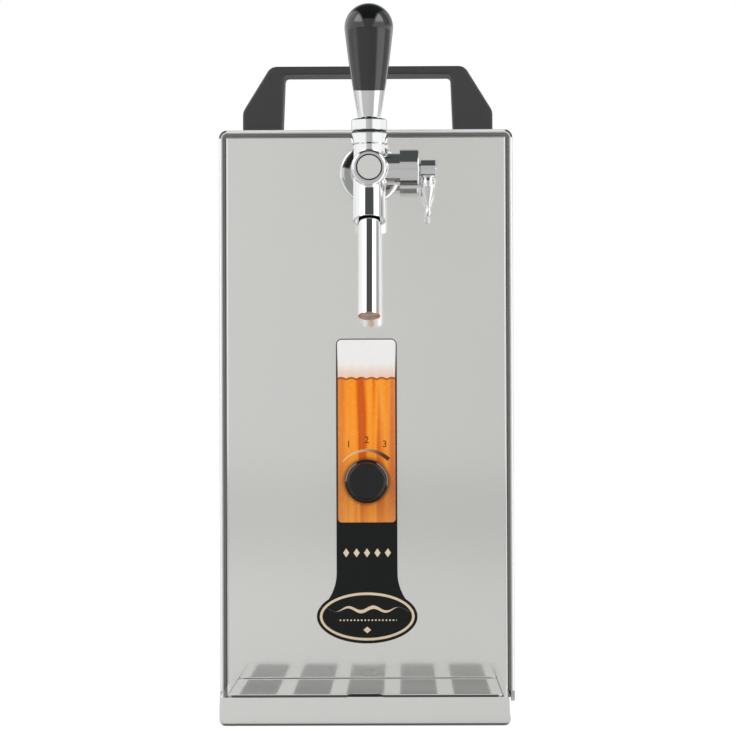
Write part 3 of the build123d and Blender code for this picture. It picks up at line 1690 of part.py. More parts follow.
tray_front = front - air_gap - tray_depth
tray_middle = tray_front + tray_depth / 2
rim_opening_x = tray_width - 2 * tray_rim
rim_opening_y = tray_depth - 2 * tray_rim
grid_x = rim_opening_x - 2 * grid_play
grid_y = rim_opening_y - 2 * grid_play
grid_top = tray_height + grid_proud
grid_pitch_x = (grid_x - slot_length - 2 * grid_side_margin) / (grid_columns - 1)

with BuildPart() as drip_tray:
    with BuildSketch(Plane.XY):
        with Locations((0, tray_middle)):
            Rectangle(tray_width, tray_depth)
    extrude(amount=tray_height)
    fillet(drip_tray.edges().filter_by(Axis.Z), tray_corner_radius)
    fillet(drip_tray.edges().group_by(Axis.Z)[0], tray_edge_radius)
    offset(amount=-tray_sheet, openings=drip_tray.faces().sort_by(Axis.Z)[-1])
    with BuildSketch(Plane.XY.offset(tray_height - tray_sheet)):
        with Locations((0, tray_middle)):
            Rectangle(tray_width - tray_sheet, tray_depth - tray_sheet)
            Rectangle(rim_opening_x, rim_opening_y, mode=Mode.SUBTRACT)
    extrude(amount=tray_sheet)

with BuildPart() as drip_grid:
    with BuildSketch(Plane.XY.offset(tray_sheet)):
        with Locations((0, tray_middle)):
            Rectangle(grid_x, grid_y)
            fillet(vertices(), tray_rim)
    extrude(amount=grid_top - tray_sheet)
    offset(amount=-grid_sheet, openings=drip_grid.faces().sort_by(Axis.Z)[0])
    with BuildSketch(Plane.XY.offset(grid_top)):
        with Locations((0, tray_middle)):
            with GridLocations(grid_pitch_x, grid_pitch_y, grid_columns, grid_rows):
                SlotOverall(slot_length, slot_width)
        with Locations((0, tray_middle - grid_y / 2)):
            Circle(notch_radius)
    extrude(amount=-grid_sheet, mode=Mode.SUBTRACT)

# ---- Labels and files ---------------------------------------------------------------------------

pieces = {
    "base_pan": base_pan,
    "rubber_feet": rubber_feet,
    "front_panel": front_panel,
    "casing_wrap": casing_wrap,
    "rear_panel": rear_panel,
    "casing_screws": casing_screws,
    "carry_handle": carry_handle,
    "machine_bolts": machine_bolts,
    "label_plate": label_plate,
    "escutcheon": escutcheon,
    "tap_shank": tap_shank,
    "shank_gasket": shank_gasket,
    "shank_nut": shank_nut,
    "tap_body": tap_body,
    "tap_front_cap": tap_front_cap,
    "bonnet_nut": bonnet_nut,
    "bonnet_cap": bonnet_cap,
    "spout_tube": spout_tube,
    "tap_plunger": tap_plunger,
    "lever_stem": lever_stem,
    "lever_ferrule": lever_ferrule,
    "lever_handle": lever_handle,
    "compensator_barrel": compensator_barrel,
    "compensator_plug": compensator_plug,
    "compensator_lever": compensator_lever,
    "thermostat_body": thermostat_body,
    "thermostat_nut": thermostat_nut,
    "thermostat_spindle": thermostat_spindle,
    "thermostat_knob": thermostat_knob,
    "thermostat_bulb": thermostat_bulb,
    "cooling_block": cooling_block,
    "insulation_halves": insulation_halves,
    "beer_coil": beer_coil,
    "evaporator_coil": evaporator_coil,
    "cooling_shelf": cooling_shelf,
    "tap_feed_line": tap_feed_line,
    "compressor": compressor,
    "rubber_mounts": rubber_mounts,
    "compressor_relay": compressor_relay,
    "refrigerant_lines": refrigerant_lines,
    "filter_drier": filter_drier,
    "capillary_tube": capillary_tube,
    "condenser_coil": condenser_coil,
    "condenser_fins": condenser_fins,
    "fan_frame": fan_frame,
    "fan_motor": fan_motor,
    "fan_blades": fan_blades,
    "fan_guard": fan_guard,
    "air_pump": air_pump,
    "air_hose": air_hose,
    "push_fittings": push_fittings,
    "beer_collet": beer_collet,
    "air_collet": air_collet,
    "power_inlet": power_inlet,
    "switch_housings": switch_housings,
    "cooling_rocker": cooling_rocker,
    "pump_rocker": pump_rocker,
    "wiring": wiring,
    "drip_tray": drip_tray,
    "drip_grid": drip_grid,
}

for name, piece in pieces.items():
    piece.part.label = name
    export_step(piece.part, f"parts/{name}.step")
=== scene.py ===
import math

import bmesh
import bpy
from mathutils import Matrix, Vector


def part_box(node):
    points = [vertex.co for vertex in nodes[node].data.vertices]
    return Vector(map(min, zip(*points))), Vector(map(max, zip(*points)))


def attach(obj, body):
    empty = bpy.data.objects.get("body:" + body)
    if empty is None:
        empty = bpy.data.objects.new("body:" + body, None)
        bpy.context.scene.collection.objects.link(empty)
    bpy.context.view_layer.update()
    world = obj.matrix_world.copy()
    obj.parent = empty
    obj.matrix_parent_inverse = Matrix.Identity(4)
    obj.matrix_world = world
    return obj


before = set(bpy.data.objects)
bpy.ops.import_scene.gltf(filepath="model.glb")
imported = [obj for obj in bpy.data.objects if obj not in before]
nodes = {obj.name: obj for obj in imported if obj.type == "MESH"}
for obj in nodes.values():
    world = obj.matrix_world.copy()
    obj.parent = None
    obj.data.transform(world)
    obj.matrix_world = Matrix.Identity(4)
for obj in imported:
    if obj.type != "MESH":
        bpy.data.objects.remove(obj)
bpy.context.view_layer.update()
print("frame loaded")


def middleOf(name):
    low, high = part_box(name)
    return (low + high) / 2.0


# places that several pieces share, in metres
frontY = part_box("front_panel")[0].y
tapX = middleOf("escutcheon").x
tapY = middleOf("bonnet_nut").y
tapZ = middleOf("escutcheon").z
dialZ = middleOf("thermostat_knob").z


camera = {"lens": 154.5, "sensor": 36.0, "clipEnd": 60.0, "x": 0.022, "z": 0.1663, "distance": 1.88,
          "pitch": 1.07, "yaw": 0.641, "roll": 0.2}


def placeCamera():
    lens = bpy.data.cameras.new("camera")
    lens.lens = camera["lens"]
    lens.sensor_width = camera["sensor"]
    lens.clip_end = camera["clipEnd"]
    eye = bpy.data.objects.new("camera", lens)
    bpy.context.scene.collection.objects.link(eye)
    eye.location = (camera["x"], frontY - camera["distance"], camera["z"])
    aim = Matrix.Rotation(math.radians(camera["yaw"]), 4, "Z")
    aim = aim @ Matrix.Rotation(math.radians(90.0 + camera["pitch"]), 4, "X")
    aim = aim @ Matrix.Rotation(math.radians(-camera["roll"]), 4, "Z")
    eye.rotation_euler = aim.to_euler()
    bpy.context.scene.camera = eye


placeCamera()
bpy.context.scene.view_settings.view_transform = "Standard"
print("camera placed")


# a wire is one output of a node, and arithmetic on wires adds Math nodes
class Wire:
    def __init__(self, bench, socket):
        self.bench = bench
        self.socket = socket

    def calc(self, operation, *others):
        return self.bench.calc(operation, self, *others)

    def __add__(self, other):
        return self.calc("ADD", other)

    def __radd__(self, other):
        return self.calc("ADD", other)

    def __sub__(self, other):
        return self.calc("SUBTRACT", other)

    def __rsub__(self, other):
        return self.bench.calc("SUBTRACT", other, self)

    def __mul__(self, other):
        return self.calc("MULTIPLY", other)

    def __truediv__(self, other):
        return self.calc("DIVIDE", other)

    def __neg__(self):
        return self.calc("MULTIPLY", -1.0)

    def size(self):
        return self.calc("ABSOLUTE")

    def most(self, other):
        return self.calc("MAXIMUM", other)

    def step(self, low, high):  # 0 below low, 1 above high, smooth between
        return self.bench.add("MapRange", {"interpolation_type": "SMOOTHSTEP"},
                              {0: self, 1: low, 2: high, 3: 0.0, 4: 1.0})

    def fade(self, low, high):  # 1 below low, 0 above high
        return 1.0 - self.step(low, high)

    def between(self, low, high, soft):
        return self.step(low - soft, low) * self.fade(high, high + soft)


# a bench is one node tree and what adds nodes to it
class Bench:
    def __init__(self, tree):
        self.tree = tree
        self.tree.nodes.clear()

    def add(self, kind, settings=None, inputs=None, output=0):
        node = self.tree.nodes.new("ShaderNode" + kind)
        for key, value in (settings or {}).items():
            if key == "stops":
                self.setStops(node.color_ramp, value)
            else:
                setattr(node, key, value)
        for key, value in (inputs or {}).items():
            socket = node.inputs[key]
            if isinstance(value, Wire):
                self.tree.links.new(value.socket, socket)
            elif isinstance(value, tuple) and len(value) == 3 and socket.type == "RGBA":
                socket.default_value = value + (1.0,)
            else:
                socket.default_value = value
        return Wire(self, node.outputs[output]) if node.outputs else node

    def setStops(self, ramp, stops):
        while len(ramp.elements) < len(stops):
            ramp.elements.new(0.5)
        for element, (place, colour) in zip(ramp.elements, stops):
            element.position = place
            element.color = colour + (1.0,)

    def calc(self, operation, *values):
        return self.add("Math", {"operation": operation}, dict(enumerate(values)))

    def length(self, first, second):
        return self.calc("SQRT", first * first + second * second)

    def degrees(self, first, second):
        return self.calc("ARCTAN2", first, second) * (180.0 / math.pi)

    def blend(self, factor, first, second):
        return self.add("Mix", {"data_type": "RGBA"}, {0: factor, 6: first, 7: second}, 2)

    def place(self):
        return self.add("TexCoord", output="Object")

    def axes(self, place=None):
        outputs = self.add("SeparateXYZ", None, {0: place or self.place()}).socket.node.outputs
        return [Wire(self, output) for output in outputs]

    def vector(self, x, y, z):
        return self.add("CombineXYZ", None, {0: x, 1: y, 2: z})

    def noise(self, scale, detail, rough=0.5, place=None, stretch=None):
        spot = place or self.place()
        if stretch:
            spot = self.add("Mapping", None, {"Vector": spot, "Scale": stretch})
        inputs = {"Vector": spot, "Scale": scale, "Detail": detail, "Roughness": rough}
        return self.add("TexNoise", None, inputs)

    def brushing(self, along):  # fine grain, long on the axis where along is small
        return self.noise(scale=900.0, detail=5.0, rough=0.65, stretch=along)

    def cells(self, scale, place=None):
        return self.add("TexVoronoi", None, {"Vector": place or self.place(), "Scale": scale})

    def bump(self, height, distance, strength):
        return self.add("Bump", None, {"Height": height, "Distance": distance, "Strength": strength})

    def rays(self):
        outputs = self.add("LightPath").socket.node.outputs
        names = ("Is Camera Ray", "Is Glossy Ray", "Is Transmission Ray")
        return [Wire(self, outputs[name]) for name in names]

    def finish(self, **sockets):
        names = {"colour": "Base Color", "rough": "Roughness", "metal": "Metallic", "normal": "Normal",
                 "coat": "Coat Weight", "specular": "Specular IOR Level"}
        shader = self.add("BsdfPrincipled", None, {names[key]: value for key, value in sockets.items()})
        self.add("OutputMaterial", None, {"Surface": shader})


def newMaterial(name):
    material = bpy.data.materials.new(name)
    material.use_nodes = True
    return material, Bench(material.node_tree)


def grey(level):
    return (level, level, level)


def scaled(tone, share):
    return tuple(level * share for level in tone)


def bearing(bench, x, y):  # degrees round the object: 0 ahead of it, positive to the right
    return bench.degrees(x, -y)


# white surroundings; what the metal sees: grey ahead, dark overhead, bright boxes left and right.
# the levels come first, then where they meet, in degrees or as parts of a direction
studio = {
    "roomLight": 0.66, "aheadLeft": (0.575, 0.575, 0.568), "aheadRight": (0.52, 0.52, 0.51),
    "overheadDark": (0.078, 0.086, 0.082), "behind": 0.5, "leftBox": 1.1, "rightBox": 1.16,
    "sideGrey": 0.62, "sideLine": 0.28, "rearGrey": 0.55, "window": 3.0,
    "aheadSplit": (-0.06, 0.06), "overheadEdge": (33.0, 42.0), "behindEdge": (128.0, 150.0),
    "leftEnd": (146.0, 160.0), "rightEnd": (150.0, 162.0), "boxEdge": (74.0, 86.0), "boxFoot": (0.06, 0.2),
    "lineSpan": (104.0, 110.0, 3.0), "lineFoot": (0.15, 0.25), "sideSplit": (-0.05, 0.05),
    "windowSpan": (38.0, 74.0, 8.0), "windowHeight": (0.42, 0.8, 0.1),
    "sideEdge": (0.22, 0.42), "sideLean": 0.3,
}


def buildSurroundings():
    world = bpy.data.worlds.new("studio")
    bpy.context.scene.world = world
    world.use_nodes = True
    bench = Bench(world.node_tree)
    x, y, z = bench.axes(bench.add("TexCoord", output="Generated"))
    turn = bearing(bench, x, y)
    pitch = bench.degrees(z, -y).size()  # 0 ahead, 90 overhead, 180 behind
    ahead = bench.blend(x.step(*studio["aheadSplit"]), studio["aheadLeft"], studio["aheadRight"])
    ahead = bench.blend(pitch.step(*studio["overheadEdge"]), ahead, studio["overheadDark"])
    ahead = bench.blend(pitch.step(*studio["behindEdge"]), ahead, grey(studio["behind"]))
    left = bench.blend((-turn).step(*studio["leftEnd"]), grey(studio["leftBox"]), grey(studio["rearGrey"]))
    dull = turn.step(*studio["boxEdge"]) * z.step(*studio["boxFoot"])
    right = bench.blend(dull, grey(studio["rightBox"]), grey(studio["sideGrey"]))
    line = turn.between(*studio["lineSpan"]) * z.step(*studio["lineFoot"])
    right = bench.blend(line, right, grey(studio["sideLine"]))
    right = bench.blend(turn.step(*studio["rightEnd"]), right, grey(studio["rearGrey"]))
    sides = bench.blend(x.step(*studio["sideSplit"]), left, right)
    window = turn.size().between(*studio["windowSpan"]) * z.between(*studio["windowHeight"])
    sides = bench.blend(window, sides, grey(studio["window"]))
    aside = (x.size() - z.most(0.0) * studio["sideLean"]).step(*studio["sideEdge"])
    isCamera, isGlossy, isTransmission = bench.rays()
    seen = bench.blend(aside, ahead, sides)
    colour = bench.blend(isGlossy.most(isTransmission), grey(studio["roomLight"]), seen)
    colour = bench.blend(isCamera, colour, grey(1.0))
    shader = bench.add("Background", None, {"Color": colour, "Strength": 1.0})
    bench.add("OutputWorld", None, {"Surface": shader})


softboxes = {
    "keyBox": {"power": 15.0, "size": (1.4, 1.4), "spot": (-1.3, -1.6, 1.5)},
    "fillBox": {"power": 8.0, "size": (1.2, 1.6), "spot": (1.6, -1.3, 0.9)},
    "topBox": {"power": 9.0, "size": (1.6, 1.6), "spot": (0.0, 0.3, 2.0)},
}
softboxAim = (0.0, 0.0, 0.2)


def addSoftbox(name, box):
    lamp = bpy.data.lights.new(name, "AREA")
    lamp.energy = box["power"]
    lamp.shape = "RECTANGLE"
    lamp.size, lamp.size_y = box["size"]
    holder = bpy.data.objects.new(name, lamp)
    bpy.context.scene.collection.objects.link(holder)
    holder.location = box["spot"]
    holder.rotation_euler = (Vector(softboxAim) - Vector(box["spot"])).to_track_quat("-Z", "Y").to_euler()
    holder.visible_camera = False
    holder.visible_glossy = False


# white to the camera; to mirrors it glows, as painted light seen only in reflections: grey ahead, with cards
# by their bearing: side, start, end, level
floorPaper = {
    "reach": 9.0, "paper": 0.93, "glow": 1.2, "keep": 0.74, "split": (-0.2, 0.2),
    "left": (0.46, 0.46, 0.45), "right": (0.395, 0.395, 0.385),
    "cards": [("right", 34.0, 48.0, 1.7), ("right", 78.0, 90.0, 0.62), ("left", 50.0, 66.0, 1.1),
              ("left", 78.0, 90.0, 0.8), ("both", 118.0, 138.0, 0.26)],
}


def floorFinish():
    material, bench = newMaterial("floorPaper")
    isCamera, isGlossy, _ = bench.rays()
    paper = bench.add("BsdfDiffuse", None, {"Color": grey(floorPaper["paper"])})
    x, y, _ = bench.axes()
    turn = bearing(bench, x, y)
    ways = {"right": turn, "left": -turn, "both": turn.size()}
    sheen = bench.blend(x.step(*floorPaper["split"]), floorPaper["left"], floorPaper["right"])
    for side, start, end, level in floorPaper["cards"]:
        sheen = bench.blend(ways[side].step(start, end), sheen, grey(level))
    # painted light: in reflections the floor glows with the sheen and cards
    white = bench.blend(isGlossy, grey(floorPaper["glow"]), sheen)
    glow = bench.add("Emission", None, {"Color": white, "Strength": 1.0})
    share = isCamera.most(isGlossy) * floorPaper["keep"]
    mixed = bench.add("MixShader", None, {0: share, 1: paper, 2: glow})
    bench.add("OutputMaterial", None, {"Surface": mixed})
    return material


def buildFloor():
    shape = bmesh.new()
    bmesh.ops.create_grid(shape, x_segments=1, y_segments=1, size=floorPaper["reach"])
    mesh = bpy.data.meshes.new("floor")
    shape.to_mesh(mesh)
    shape.free()
    mesh.materials.append(floorFinish())
    floor = bpy.data.objects.new("floor", mesh)
    bpy.context.scene.collection.objects.link(floor)


buildSurroundings()
for name, box in softboxes.items():
    addSoftbox(name, box)
buildFloor()
print("studio built")


# polished, with painted shade: its turned edges are coloured darker to dim their bright reflection; each inset
# is a depth inside the piece's edge
panelSteel = {"tone": (0.93, 0.93, 0.915), "cloud": (0.96, 0.96, 0.94), "edge": (0.5, 0.5, 0.49),
              "inset": (0.0008, 0.0021), "metal": 0.9}


def panelFinish():
    material, bench = newMaterial("polishedSteel")
    haze = bench.noise(scale=7.0, detail=2.0)
    grain = bench.noise(scale=220.0, detail=4.0, rough=0.6, stretch=(1.0, 1.0, 0.02))
    x, _, _ = bench.axes()
    edge = (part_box("front_panel")[1].x - x.size()).fade(*panelSteel["inset"])
    tone = bench.blend(haze, panelSteel["tone"], panelSteel["cloud"])
    # painted shade: darker colour on the turned edges
    tone = bench.blend(edge, tone, panelSteel["edge"])
    bench.finish(colour=tone, rough=0.05 + haze * 0.02 + grain * 0.03, metal=panelSteel["metal"],
                 normal=bench.bump(grain, distance=0.000004, strength=0.5))
    return material


# brushed along the casing, paler and more matt on its top
wrapSteel = {"tone": (0.64, 0.64, 0.63), "grain": (0.55, 0.55, 0.54), "top": (0.86, 0.86, 0.85),
             "inset": (0.0002, 0.0016), "metal": 0.9, "topLoss": 0.42}


def wrapFinish():
    material, bench = newMaterial("wrapSteel")
    grain = bench.brushing((1.0, 0.02, 1.0))
    broad = bench.noise(scale=9.0, detail=2.0)
    _, _, z = bench.axes()
    top = (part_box("casing_wrap")[1].z - z).fade(*wrapSteel["inset"])
    tone = bench.blend(grain * 0.5 + broad * 0.3, wrapSteel["tone"], wrapSteel["grain"])
    tone = bench.blend(top, tone, wrapSteel["top"])
    metal = wrapSteel["metal"] - top * wrapSteel["topLoss"]
    bench.finish(colour=tone, rough=0.14 + grain * 0.12, metal=metal,
                 normal=bench.bump(grain, distance=0.00001, strength=0.35))
    return material


# painted shade inside its walls: the basin's inside is coloured dark
traySteel = {"tone": (0.95, 0.95, 0.935), "inside": (0.2, 0.2, 0.195), "wall": (0.0007, 0.0009),
             "base": (0.0003, 0.0005)}


def trayFinish():
    material, bench = newMaterial("traySteel")
    x, y, z = bench.axes()
    low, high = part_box("drip_tray")
    wall = traySteel["wall"]
    # painted shade: dark colour inside the basin
    inside = (high.x - x.size()).step(*wall) * (y - low.y).step(*wall)
    inside = inside * (high.z - z).step(*wall) * z.step(*traySteel["base"])
    finishFoldedSteel(bench, bench.blend(inside, traySteel["tone"], traySteel["inside"]))
    return material


# painted shade: darker below its top face, in its slots, and dark along the upper part of its outer edge
gridSteel = {"tone": (0.93, 0.93, 0.915), "slots": (0.44, 0.44, 0.43), "rim": (0.13, 0.13, 0.125),
             "face": (0.0001, 0.0003), "sideRim": (0.0006, 0.0008), "frontRim": (0.0001, 0.0003),
             "rimDepth": (0.0017, 0.0022)}


def gridFinish():
    material, bench = newMaterial("gridSteel")
    x, y, z = bench.axes()
    low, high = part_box("drip_grid")
    depth = high.z - z
    # painted shade below the top face
    tone = bench.blend(depth.step(*gridSteel["face"]), gridSteel["tone"], gridSteel["slots"])
    rim = (high.x - x.size()).fade(*gridSteel["sideRim"]).most((y - low.y).fade(*gridSteel["frontRim"]))
    # painted shade along the upper outer edge
    finishFoldedSteel(bench, bench.blend(rim * depth.fade(*gridSteel["rimDepth"]), tone, gridSteel["rim"]))
    return material


def finishFoldedSteel(bench, tone):
    grain = bench.brushing((0.02, 1.0, 1.0))
    bench.finish(colour=tone, rough=0.08 + grain * 0.1, metal=0.9,
                 normal=bench.bump(grain, distance=0.000006, strength=0.35))


def brushedSteel(name, along, tone, rough, metal=1.0):
    material, bench = newMaterial(name)
    grain = bench.brushing(along)
    broad = bench.noise(scale=9.0, detail=2.0)
    shade = bench.blend(grain * 0.5 + broad * 0.3, tone, scaled(tone, 0.86))
    bench.finish(colour=shade, rough=rough + grain * 0.12, metal=metal,
                 normal=bench.bump(grain, distance=0.00002, strength=0.35))
    return material


def chromePlate():
    material, bench = newMaterial("chromePlate")
    film = bench.noise(scale=60.0, detail=3.0)
    bench.finish(colour=(0.81, 0.815, 0.82), rough=0.02 + film * 0.035, metal=1.0,
                 normal=bench.bump(film, distance=0.00002, strength=0.12))
    return material


# plate behind the tap, with painted reflections: a light rim, greyer inside it, and a dark patch at the upper
# left
plateChrome = {"rim": (0.78, 0.785, 0.79), "inner": (0.50, 0.515, 0.51), "rimEdge": (0.0166, 0.0173),
               "darkReflection": (0.035, 0.035, 0.035), "patchTurn": (-74.0, -34.0, 6.0),
               "patchSpan": (0.0128, 0.0166, 0.0005)}


def plateFinish():
    material, bench = newMaterial("plateChrome")
    film = bench.noise(scale=60.0, detail=3.0)
    x, _, z = bench.axes()
    x, z = x - tapX, z - tapZ
    radius = bench.length(x, z)
    # painted reflection: lighter rim, greyer inside it
    tone = bench.blend(radius.step(*plateChrome["rimEdge"]), plateChrome["inner"], plateChrome["rim"])
    # painted dark reflection at the upper left
    darkReflection = bench.degrees(x, z).between(*plateChrome["patchTurn"]) * radius.between(*plateChrome["patchSpan"])
    tone = bench.blend(darkReflection, tone, plateChrome["darkReflection"])
    bench.finish(colour=tone, rough=0.04 + film * 0.04, metal=1.0,
                 normal=bench.bump(film, distance=0.00002, strength=0.12))
    return material


# painted highlights: light arcs round the knob's foot at the upper left and right
knobPlastic = {"tone": (0.0105, 0.011, 0.011), "arcHighlight": (0.30, 0.27, 0.27), "leftArc": (-86.0, -34.0, 8.0),
               "rightArc": (34.0, 98.0, 8.0), "arcSpan": (0.0119, 0.0126, 0.0002), "arcShare": 0.8}


def knobFinish():
    material, bench = newMaterial("knobPlastic")
    grain = bench.noise(scale=3200.0, detail=2.0, rough=0.7)
    x, _, z = bench.axes()
    rise = z - dialZ
    turn = bench.degrees(x, rise)
    # painted highlights on the knob's foot
    highlightArcs = turn.between(*knobPlastic["leftArc"]).most(turn.between(*knobPlastic["rightArc"]))
    highlightArcs = highlightArcs * bench.length(x, rise).between(*knobPlastic["arcSpan"])
    tone = bench.blend(highlightArcs * knobPlastic["arcShare"], knobPlastic["tone"], knobPlastic["arcHighlight"])
    bench.finish(colour=tone, rough=0.3 + grain * 0.1, specular=0.3,
                 normal=bench.bump(grain, distance=0.00003, strength=0.6))
    return material


def mouldedPlastic(name, tone, rough, specular=0.5):
    material, bench = newMaterial(name)
    grain = bench.noise(scale=2600.0, detail=2.0, rough=0.7)
    broad = bench.noise(scale=25.0, detail=3.0)
    bench.finish(colour=bench.blend(broad, tone, scaled(tone, 0.82)), rough=rough + grain * 0.1,
                 specular=specular, normal=bench.bump(grain, distance=0.00005, strength=0.6))
    return material


def glossyBlack(name, tone):
    material, bench = newMaterial(name)
    ripple = bench.noise(scale=90.0, detail=2.0)
    dust = bench.noise(scale=2200.0, detail=2.0)
    bench.finish(colour=bench.blend(ripple, tone, scaled(tone, 1.5)), rough=0.1 + dust * 0.05,
                 specular=0.75, coat=0.4, normal=bench.bump(ripple, distance=0.0001, strength=0.15))
    return material


def softRubber(name, tone):
    material, bench = newMaterial(name)
    grain = bench.noise(scale=1500.0, detail=4.0, rough=0.7)
    bench.finish(colour=bench.blend(grain, tone, scaled(tone, 1.6)), rough=0.72 + grain * 0.15,
                 normal=bench.bump(grain, distance=0.0001, strength=0.5))
    return material


def drawnMetal(name, tone, rough, stain):
    material, bench = newMaterial(name)
    cloud = bench.noise(scale=70.0, detail=4.0, rough=0.6)
    scuff = bench.noise(scale=900.0, detail=3.0, rough=0.6)
    shade = bench.blend(cloud.step(0.35, 0.75), tone, scaled(tone, stain))
    bench.finish(colour=shade, rough=rough + cloud * 0.15, metal=1.0,
                 normal=bench.bump(scuff, distance=0.00003, strength=0.3))
    return material


def castMetal(name, tone, rough):
    material, bench = newMaterial(name)
    pits = bench.cells(700.0)
    cloud = bench.noise(scale=40.0, detail=4.0)
    bench.finish(colour=bench.blend(cloud, tone, scaled(tone, 0.8)), rough=rough + cloud * 0.15, metal=1.0,
                 normal=bench.bump(pits, distance=0.0002, strength=0.4))
    return material


def beadFoam():
    material, bench = newMaterial("beadFoam")
    beads = bench.cells(260.0)
    tone = bench.blend(beads.step(0.2, 0.75), (0.86, 0.85, 0.81), (0.7, 0.69, 0.65))
    bench.finish(colour=tone, rough=0.85, normal=bench.bump(beads, distance=0.0006, strength=-0.6))
    return material


def enamelBlack():
    material, bench = newMaterial("enamelBlack")
    peel = bench.noise(scale=240.0, detail=2.0)
    dust = bench.noise(scale=14.0, detail=5.0, rough=0.7).step(0.45, 0.8)
    tone = bench.blend(dust, (0.012, 0.012, 0.013), (0.05, 0.05, 0.048))
    bench.finish(colour=tone, rough=0.22 + dust * 0.3, coat=0.4,
                 normal=bench.bump(peel, distance=0.0002, strength=0.25))
    return material


def milkyHose():
    material, bench = newMaterial("milkyHose")
    cloud = bench.noise(scale=60.0, detail=3.0)
    tone = bench.blend(cloud, (0.62, 0.68, 0.72), (0.75, 0.78, 0.8))
    bench.finish(colour=tone, rough=0.25 + cloud * 0.1, coat=0.3)
    return material


# printed strip: pale cap, amber field with bubbles, black foot with a cream oval line
strip = {
    "halfWidth": 0.0181, "top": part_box("label_plate")[1].z, "footTop": 0.1096, "capEdge": 0.1962,
    "fieldInset": 0.001045, "keyInset": 0.0006325, "fieldCorner": 0.0022, "keyCorner": 0.0028,
    "soft": 0.00012, "footFade": 0.002,
    "pale": (0.84, 0.83, 0.815), "black": (0.0065, 0.008, 0.008), "line": (0.045, 0.03, 0.022),
    "cream": (0.78, 0.62, 0.44),
}


# soft upright bands, lighter towards the foot, redder towards the sides, and small bubbles
amber = {
    "sway": 0.0016, "across": 150.0, "upward": 5.0, "seed": 3.1,
    "bands": [(0.26, (0.56, 0.13, 0.020)), (0.38, (0.62, 0.095, 0.003)), (0.47, (0.93, 0.27, 0.006)),
              (0.57, (0.95, 0.34, 0.035)), (0.68, (0.72, 0.145, 0.012)), (0.80, (0.60, 0.085, 0.010))],
    "foot": (0.78, 0.33, 0.075), "footShare": 0.45,
    "side": (0.56, 0.17, 0.07), "sideShare": 0.55, "sideFrom": 0.55,
    "bubble": (1.0, 0.66, 0.28), "bubbleShare": 0.22, "bubbleScale": 330.0, "bubbleSquash": 0.8,
    "bubbleRim": (0.10, 0.2), "bubbleHeart": (0.02, 0.1),
}


def amberField(bench, x, z):
    sway = bench.noise(scale=14.0, detail=2.0) * amber["sway"]
    place = bench.vector((x + sway) * amber["across"], amber["seed"], z * amber["upward"])
    bands = bench.noise(scale=1.0, detail=1.0, rough=0.4, place=place)
    field = bench.add("ValToRGB", {"stops": amber["bands"]}, {0: bands})
    field = bench.blend(z.fade(strip["footTop"], dialZ) * amber["footShare"], field, amber["foot"])
    side = x.size().step(strip["halfWidth"] * amber["sideFrom"], strip["halfWidth"])
    field = bench.blend(side * amber["sideShare"], field, amber["side"])
    spots = bench.cells(amber["bubbleScale"], bench.vector(x, z * amber["bubbleSquash"], 0.0))
    bubble = spots.fade(*amber["bubbleRim"]) * spots.step(*amber["bubbleHeart"])
    return bench.blend(bubble * amber["bubbleShare"], field, amber["bubble"])


# pale cap over a scalloped edge
paleCap = {"wave": 0.0009, "waves": 520.0, "blush": 0.0095, "peach": (0.80, 0.52, 0.36),
           "peachShare": 0.75, "edgeSpan": (-0.0010, -0.0004, 0.0006), "edgeTone": (0.30, 0.075, 0.012),
           "edgeShare": 0.85, "meet": (-0.0002, 0.0002)}


def addCap(bench, x, z, field):
    wave = bench.calc("SINE", x * paleCap["waves"]).size() * paleCap["wave"]
    rise = z - (wave + (strip["capEdge"] - paleCap["wave"]))
    blush = rise.fade(0.0, paleCap["blush"]) * paleCap["peachShare"]
    pale = bench.blend(blush, strip["pale"], paleCap["peach"])
    field = bench.blend(rise.between(*paleCap["edgeSpan"]) * paleCap["edgeShare"], field, paleCap["edgeTone"])
    return bench.blend(rise.step(*paleCap["meet"]), field, pale)


# scale round the dial: a wedge that widens clockwise by its growth per degree, and painted shade round the
# knob
dialScale = {"radius": 0.0184, "start": -50.0, "end": 45.0, "soft": 0.8, "thin": 0.00032, "growth": 0.0000095,
             "fade": (-34.0, 38.0), "pale": (0.86, 0.55, 0.33), "dark": (0.04, 0.012, 0.002), "share": 0.92,
             "shade": (0.0132, 0.0152), "shadeTone": (0.16, 0.05, 0.02), "shadeShare": 0.55}


def addDialScale(bench, x, z, field):
    radius = bench.length(x, z - dialZ)
    turn = bench.degrees(x, z - dialZ)
    swell = (turn - dialScale["start"]) * dialScale["growth"] + dialScale["thin"]
    wedge = (swell - (radius - dialScale["radius"]).size()).step(-strip["soft"], strip["soft"])
    wedge = wedge * turn.between(dialScale["start"], dialScale["end"], dialScale["soft"])
    tone = bench.blend(turn.step(*dialScale["fade"]), dialScale["pale"], dialScale["dark"])
    # painted shade round the knob's foot
    shade = radius.fade(*dialScale["shade"]) * dialScale["shadeShare"]
    field = bench.blend(shade, field, dialScale["shadeTone"])
    return bench.blend(wedge * dialScale["share"], field, tone)


def framed(bench, x, z, inset, corner):  # 1 inside a round-cornered field that starts at the foot
    aside = (x.size() - (strip["halfWidth"] - inset - corner)).most(0.0)
    above = z - (strip["top"] - inset - corner)
    below = (strip["footTop"] + corner) - z
    away = bench.length(aside, above.most(below).most(0.0))
    return away.fade(corner - strip["soft"], corner + strip["soft"])


